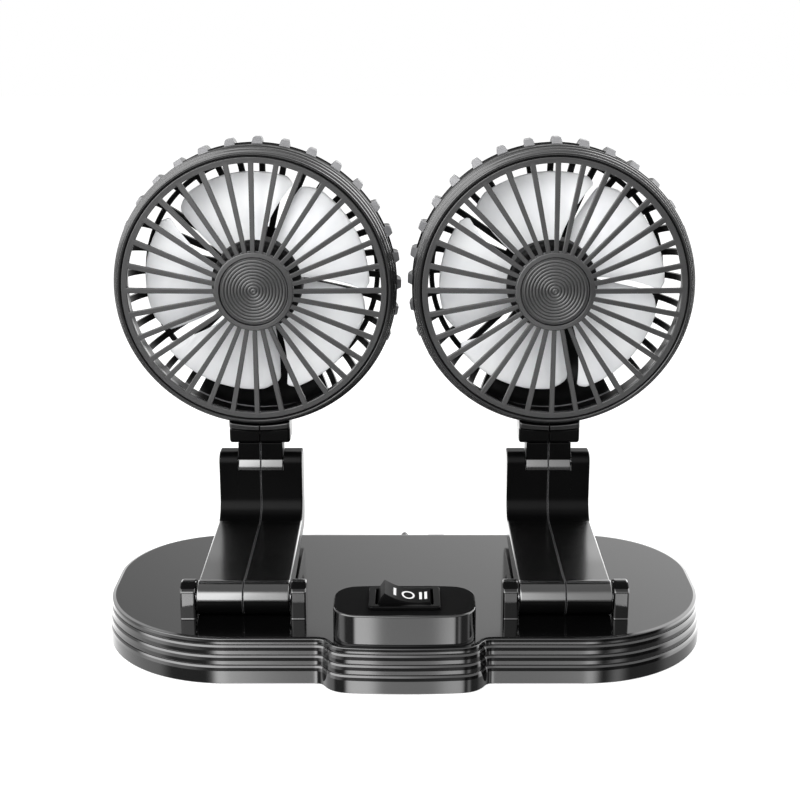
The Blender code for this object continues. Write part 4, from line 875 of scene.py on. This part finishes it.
def cage_shape():
    """A collar, bars that run back, over the corner and in to a hub, a ring and a closed bottom sector."""
    collar = [
        (59.2, 9), (61.2, 9), (61.2, 20.8), (62.7, 20.8), (62.7, 22.8), (63.9, 23.9), (61.5, 23.9),
        (59.2, 22.6),
    ]
    shape = turned(softened(collar, (0.3, 0.3, 0.2, 0.2, 0.3, 0.3, 0.3, 0.3), 4, 0.02, True), 192, ring=True)
    ring = softened([(52.8, 47.0), (55.2, 45.9), (55.2, 47.7), (52.8, 48.85)], 0.3, 3, 0.02, True)
    shape += turned(ring, 192, ring=True)
    shape += turned(softened([(0, 47.9), (21.5, 47.9), (21.5, 50.3), (0, 50.3)], (0, 0.4, 0.8, 0), 4), 96)
    first, bottom, half_sector, ribless = 1, 180, 29.2, 25
    angles = first + np.arange(RIBS) * 360 / RIBS
    shape += around(rib_shape(), angles[abs(angles - bottom) > ribless])
    outline = grown(anticlockwise(cage_outline()), -0.02)
    return shape + turned(outline, 40, ring=True, start=bottom - half_sector, end=bottom + half_sector)


def blade_shape(start):
    """A swept blade: angle and rise run along the chord, the middle bows, and thickness fades to its round
    edges. Each row is the closed section at one radius, out to the tip, where the section closes."""
    steps, tip_start, root, span, middle, half_thick = 33, 0.985, 19.5, 31.5, 21.65, 0.62
    out = np.concatenate([np.linspace(0, tip_start, 28), [0.992, 0.997, 1.0]])[:, None]
    chord = (1 - np.cos(np.linspace(0, math.pi, steps))) / 2
    loop = np.concatenate([chord, chord[-2:0:-1]])[None]
    face = np.concatenate([np.ones(steps), -np.ones(steps - 2)])[None]
    near_tip = np.clip((out - 0.86) / 0.14, 0, 1) ** 2
    trail_tip = np.clip((out - 0.9) / 0.1, 0, 1) ** 2
    along = loop * (1 - 0.13 * near_tip - 0.08 * trail_tip) + 0.13 * near_tip
    angle = np.radians(start + 8.5 * out + (62 + 6 * out) * along)
    radius = root + span * out
    bow = np.sin(math.pi * along) * 1.3
    rise = 12 * (along - 0.5) * (1 - 0.25 * out) + bow
    edge = np.clip(1 - abs(2 * loop - 1) ** 10, 0, 1) ** 0.5
    tip = np.clip(1 - np.clip((out - tip_start) / (1 - tip_start), 0, 1) ** 2, 0.02, 1) ** 0.5
    depth = middle - rise - half_thick * face * edge * tip
    return skin(np.stack([radius * np.sin(angle), radius * np.cos(angle), depth], -1))


def impeller_shape():
    """A cup that covers the motor's front, with a bore for the shaft, and the blades round it."""
    hub = [
        (0, 14.5), (20.5, 14.5), (20.5, 28.5), (18.5, 28.5), (18.5, 16.5), (4, 16.5), (4, 23.5), (1.8, 23.5),
        (1.8, 17.2), (0, 17.2),
    ]
    shape = turned(softened(hub, (0, 2.3, 0.4, 0.4, 1.0, 0.6, 0.3, 0.2, 0.1, 0), 8), 96)
    first = 17.5
    for count in range(BLADES):
        shape += blade_shape(first + 360 / BLADES * count)
    return shape


def motor_shape():
    """A turned can with a rolled front rim, a step behind it and a bearing boss."""
    corners = [
        (1.8, 34.3), (1.8, 26.5), (4.0, 26.5), (4.2, 27.3), (12.4, 27.3), (12.6, 26.5), (13.3, 26.5),
        (13.5, 29.8), (13.1, 30.1), (13.1, 46.3), (12.4, 47.6), (0, 47.6), (0, 34.3),
    ]
    radii = (0, 0.3, 0.3, 0.2, 0.3, 0.3, 0.4, 0.3, 0.2, 0.6, 0.3, 0, 0)
    return turned(softened(corners, radii, 4, 0.03), 96)


def make_head(name, side):
    """One head, each line a node, its shape, finish, slot, body and picked faces."""
    head, rotor = f"head_{name}", f"rotor_{name}"
    looks = (
        ("bezel_ring", ring_shape(), "ring_grey", "satin_grey", head, [("upright_black", ring_wall_faces)]),
        ("front_grille", grille_shape(), "satin_grey", "satin_grey", head, ()),
        ("grille_cap", cap_shape(), "satin_grey", "satin_grey", head, ()),
        # The ribs' outsides take a far paler grey, a painted sheen.
        ("rear_housing", cage_shape(), "cage_grey", "cage_grey", head, [("rib_painted_sheen", rib_faces)]),
        ("motor", motor_shape(), "steel", "steel", head, ()),
        ("impeller", impeller_shape(), "white_blade", "white_blade", rotor, [("hub_dark", hub_faces)]),
    )
    for node, shape, finish, slot, body, others in looks:
        node = f"{node}_{name}"
        piece(f"{node}_look", head_place(shape, side), finish, body, [node], others=others)


# Cord

def spline_through(route, per_span):
    """A smooth curve through the route: the cubic of each span takes, at each of its points, half the chord
    between that point's neighbours as its slope."""
    route = np.asarray(route, float)
    ends = np.vstack([2 * route[0] - route[1], route, 2 * route[-1] - route[-2]])
    a, b, c, d = (ends[i:len(ends) - 3 + i, None] for i in range(4))
    t = (np.arange(per_span) / per_span)[None, :, None]
    cubic = b + (c - a) * t / 2 + (2 * a - 5 * b + 4 * c - d) * t**2 / 2 + (3 * b - a - 3 * c + d) * t**3 / 2
    return np.vstack([cubic.reshape(-1, 3), route[-1:]])


def hank_path():
    """Flat turns from the inside out: half turns whose radius grows by one pitch a turn."""
    start, left, right, end, half_pitch = 35, -59, 91, -60, HANK_PITCH / 2
    rows = [[(start, HANK_Y + HANK_INNER)]]
    for loop in range(HANK_TURNS):
        radius = HANK_INNER + loop * HANK_PITCH
        rows.append(arc((right, HANK_Y), radius, 90, -90, 20))
        if loop < HANK_TURNS - 1:
            rows.append(arc((left, HANK_Y + half_pitch), radius + half_pitch, -90, -270, 20))
    rows.append([(end, TAIL_Y)])
    return lifted(np.vstack(rows), HANK_Z)


def tube_curve(name, path, radius):
    """A round tube along the path, with its ends closed."""
    curve = bpy.data.curves.new(name, "CURVE")
    curve.dimensions = "3D"
    curve.bevel_depth = radius * MM
    curve.bevel_resolution = 6
    curve.use_fill_caps = True
    spline = curve.splines.new("POLY")
    spline.points.add(len(path) - 1)
    flat = np.column_stack([path * MM, np.ones(len(path))])
    spline.points.foreach_set("co", flat.ravel())
    obj = bpy.data.objects.new(name, curve)
    bpy.context.scene.collection.objects.link(obj)
    return obj


def make_cord():
    """The cord runs from the boot down to the floor, through the hank and out to the plug."""
    start_y = HANK_Y + HANK_INNER
    route = np.array([
        (0, BOOT_END, BOOT_Z), (0, 63.2, BOOT_Z), (0.1, 66.9, 12.8), (0.6, 70.4, 10.8), (2.2, 73.9, 7.8),
        (5.5, 77.0, 4.8), (10.0, 79.0, 3.3), (16.0, 79.7, 2.9), (24.0, start_y, HANK_Z),
        (31.3, start_y, HANK_Z), (34.7, start_y, HANK_Z),
    ])
    tail = np.array([
        (-60.3, TAIL_Y, HANK_Z), (-63.7, TAIL_Y, HANK_Z), (-69.0, 57.0, 3.2), (-74.0, PLUG_Y, 3.6),
        (-79.7, PLUG_Y, PLUG_Z),
    ])
    path = np.vstack([spline_through(route, 2), hank_path(), spline_through(tail, 3)])
    cord = tube_curve("cord_look", path, 1.7)
    cord.data.materials.append(FINISHES["cord_black"])
    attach(cord, "base")
    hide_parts("power_cord", "cord_hank", "cord_tail")
    with_pieces = [make_tie(), *make_plug()]


def make_tie():
    """A flat band round the hank, one closed strip swept over its width."""
    profile = softened([(0, -4), (0.3, -4), (0.3, 4), (0, 4)], 0.1, 3, 0.03, closed=True)
    rows = [lifted(rounded_box(grow, 36.0, 4.0, 1.7), across) for grow, across in profile]
    band = skin(rows, ring=True).to(SIDE_VIEW, (16, HANK_Y, HANK_Z))
    return piece("cord_tie_look", band, "rubber", "base", ["cord_tie"])


def plug_section(x, half_y, half_z, corner):
    """A rounded box across X at x, round the plug's middle line."""
    loop = rounded_box(0, 2 * half_y, 2 * half_z, corner) + (PLUG_Y, PLUG_Z)
    return np.column_stack([np.full(len(loop), x), loop])


def make_plug():
    """A soft-cornered grip whose section swells and shrinks along X, and a folded shell with its tongue."""
    along = (-80.0, -80.3, -81.2, -83.5, -86.0, -90.0, -95.0, -98.8, -99.7, -100.0)
    shrink = (2.4, 1.6, 1.2, 0.5, 0.1, 0, 0, 0, 0.3, 0.9)
    rows = [plug_section(x, 7.2 - s, 3.45 - s * 0.7, 1.6 - s * 0.3) for x, s in zip(along, shrink)]
    grip = piece("plug_body_look", skin(rows), "cord_black", "base", ["plug_body"], 40)
    steps = ((0, -100.3), (0, -113.3), (0.5, -113.3), (0.5, -104.3))
    rows = [plug_section(x, 6.0 - s, 2.25 - s, 0.6 - s * 0.5) for s, x in steps]
    tongue = softened([(53.9, 3.9), (64.3, 3.9), (64.3, 5.3), (53.9, 5.3)], 0.2, 3, closed=True)
    bar = [np.column_stack([np.full(len(tongue), x), tongue]) for x in (-104.2, -112.8)]
    shell = piece("plug_shell_look", skin(rows) + skin(bar), "steel", "base", ["plug_shell"])
    return grip, shell


def make_boot():
    """A strain relief: two flanges that grip the wall and a taper with three grooves."""
    corners = [
        (0, 46.3), (3.9, 46.3), (3.9, 47.5), (2.9, 47.5), (2.9, 51.7), (3.9, 51.7), (3.9, 52.9),
        (2.9, 52.9),
    ]
    radii = [0, 0.2, 0.2, 0.1, 0.1, 0.2, 0.3, 0.2]
    for groove in range(3):
        start, outer, deep = 54.0 + groove * 1.5, 2.85 - 0.15 * groove, 0.35
        corners += [
            (outer, start), (outer - deep, start + 0.15), (outer - deep, start + 0.6),
            (outer - 0.05, start + 0.75),
        ]
        radii += [0.1, 0.05, 0.05, 0.1]
    corners += [(2.3, BOOT_END), (0, BOOT_END)]
    shape = turned(softened(corners, radii + [0.3, 0], 3, 0.02), 64).to(FRONT_VIEW, (0, 0, BOOT_Z))
    piece("cord_boot_look", shape, "cord_black", "base", ["cord_boot"])


# Stage

def studio(graph):
    """What gloss sees by direction, in degrees from straight ahead and above the horizon. Behind the object
    is a pale backdrop, lighter at its sides and to the right. In front are a near floor that is lit steeply
    below, with a strip on each side of its bright middle, a dark band above it that lightens to the left, a
    large soft light that is strongest on the left, and a grey ceiling."""
    x, y, z = graph.parts(graph.node("TexCoord", output="Generated"))
    azimuth = x.math("ARCTAN2", -1 * y) * (180 / math.pi)
    height = z.math("ARCSINE") * (180 / math.pi)
    leftward = -1 * azimuth
    backdrop = 1.2 + 2.3 * x + 2.4 * abs(x).step(0.2, 0.28)
    middle = 2.75 * abs(azimuth).step(25, 12)
    left_strip = 6.4 * leftward.step(4.8, 8.6) * leftward.step(20, 12)
    right_strip = 3.6 * azimuth.step(6, 11) * azimuth.step(23, 13)
    sides = 1.6 * leftward.step(55, 72) + 2.4 * azimuth.within(32, 42, 8)
    floor = 0.3 + middle + left_strip + right_strip + sides
    light = 9.5 - 4.7 * azimuth.step(-9, -5) - 2.4 * azimuth.step(-4, 6) - 0.6 * azimuth.step(6, 12)
    light = light * azimuth.step(104, 74) * leftward.step(118, 88) + 0.5
    lit = 0.1 + 0.9 * height.step(-20.8, -22.3)
    band = 1.9 * leftward.step(50, 65) + 2.2 * leftward.step(12, 45)
    low = floor * lit + (1 - lit) * band + 0.02
    high = light * height.step(-2, 6) * height.step(60, 42) + height.step(46, 54)
    ahead = low * height.step(0, -2) + high
    behind = y.step(-0.25, 0.05) * height.step(62, 50) * height.step(-30, -10)
    return ahead + (backdrop - ahead) * behind


def make_world():
    """White to the camera, the studio to gloss, and one plain level to all else."""
    world = bpy.data.worlds.new("studio")
    bpy.context.scene.world = world
    world.use_nodes = True
    tree = world.node_tree
    graph = Graph(tree)
    level = AMBIENT + (studio(graph) - AMBIENT) * graph.ray("Glossy")
    level = level + (1 - level) * graph.ray("Camera")
    background = tree.nodes["Background"]
    tree.links.new(level.socket, background.inputs["Strength"])
    background.inputs["Color"].default_value = (1, 1, 1, 1)


def make_lamp(name, place, power):
    """A square lamp of 0.7 m that looks at the heads' foot and is kept out of reflections."""
    data = bpy.data.lights.new(name, "AREA")
    data.shape = "RECTANGLE"
    data.size = data.size_y = 0.7
    data.energy = power
    lamp = bpy.data.objects.new(name, data)
    lamp.location = place
    lamp.rotation_euler = (Vector((0, 0, 0.1)) - Vector(place)).to_track_quat("-Z", "Y").to_euler()
    lamp.visible_glossy = False
    bpy.context.scene.collection.objects.link(lamp)


def floor_white(graph):
    """Pale and dull. Part of its white is its own where the camera sees it, and the rest is lit."""
    haze = graph.noise(3, 2)
    return {
        "Base Color": graph.mix(haze, (0.9, 0.9, 0.9, 1), (0.93, 0.93, 0.93, 1)),
        "Emission Strength": graph.ray("Camera") * 0.6,
    }


def make_floor():
    """A square that keeps a soft shadow and stays out of reflections."""
    reach = 3
    mesh = bpy.data.meshes.new("floor")
    corners = [(-reach, -reach, 0), (reach, -reach, 0), (reach, reach, 0), (-reach, reach, 0)]
    mesh.from_pydata(corners, [], [(0, 1, 2, 3)])
    floor = bpy.data.objects.new("floor", mesh)
    bpy.context.scene.collection.objects.link(floor)
    dull = {"Roughness": 1, "Specular_IOR_Level": 0, "Emission_Color": (1, 1, 1, 1)}
    mesh.materials.append(material("floor_white", floor_white, **dull))
    floor.visible_glossy = False


def dress_frame():
    """Carried-over nodes take the finish of their slot."""
    slots = {part["node"]: part["material_slot"] for part in frame["record"]["subparts"]}
    for name, node in frame["nodes"].items():
        node.data.materials.clear()
        node.data.materials.append(FINISHES[slots[name]])


bpy.context.scene.view_settings.view_transform = "Standard"
make_camera()
FINISHES = make_finishes()
make_cord()
make_boot()
make_base()
make_switch()
for side_name, side_sign in SIDES.items():
    make_arm(side_name, side_sign)
    make_neck(side_name, side_sign)
    make_head(side_name, side_sign)
dress_frame()
make_world()
make_lamp("key_left", (-0.5, -0.9, 0.75), 15)
make_lamp("key_right", (0.6, -0.8, 0.6), 6)
make_floor()
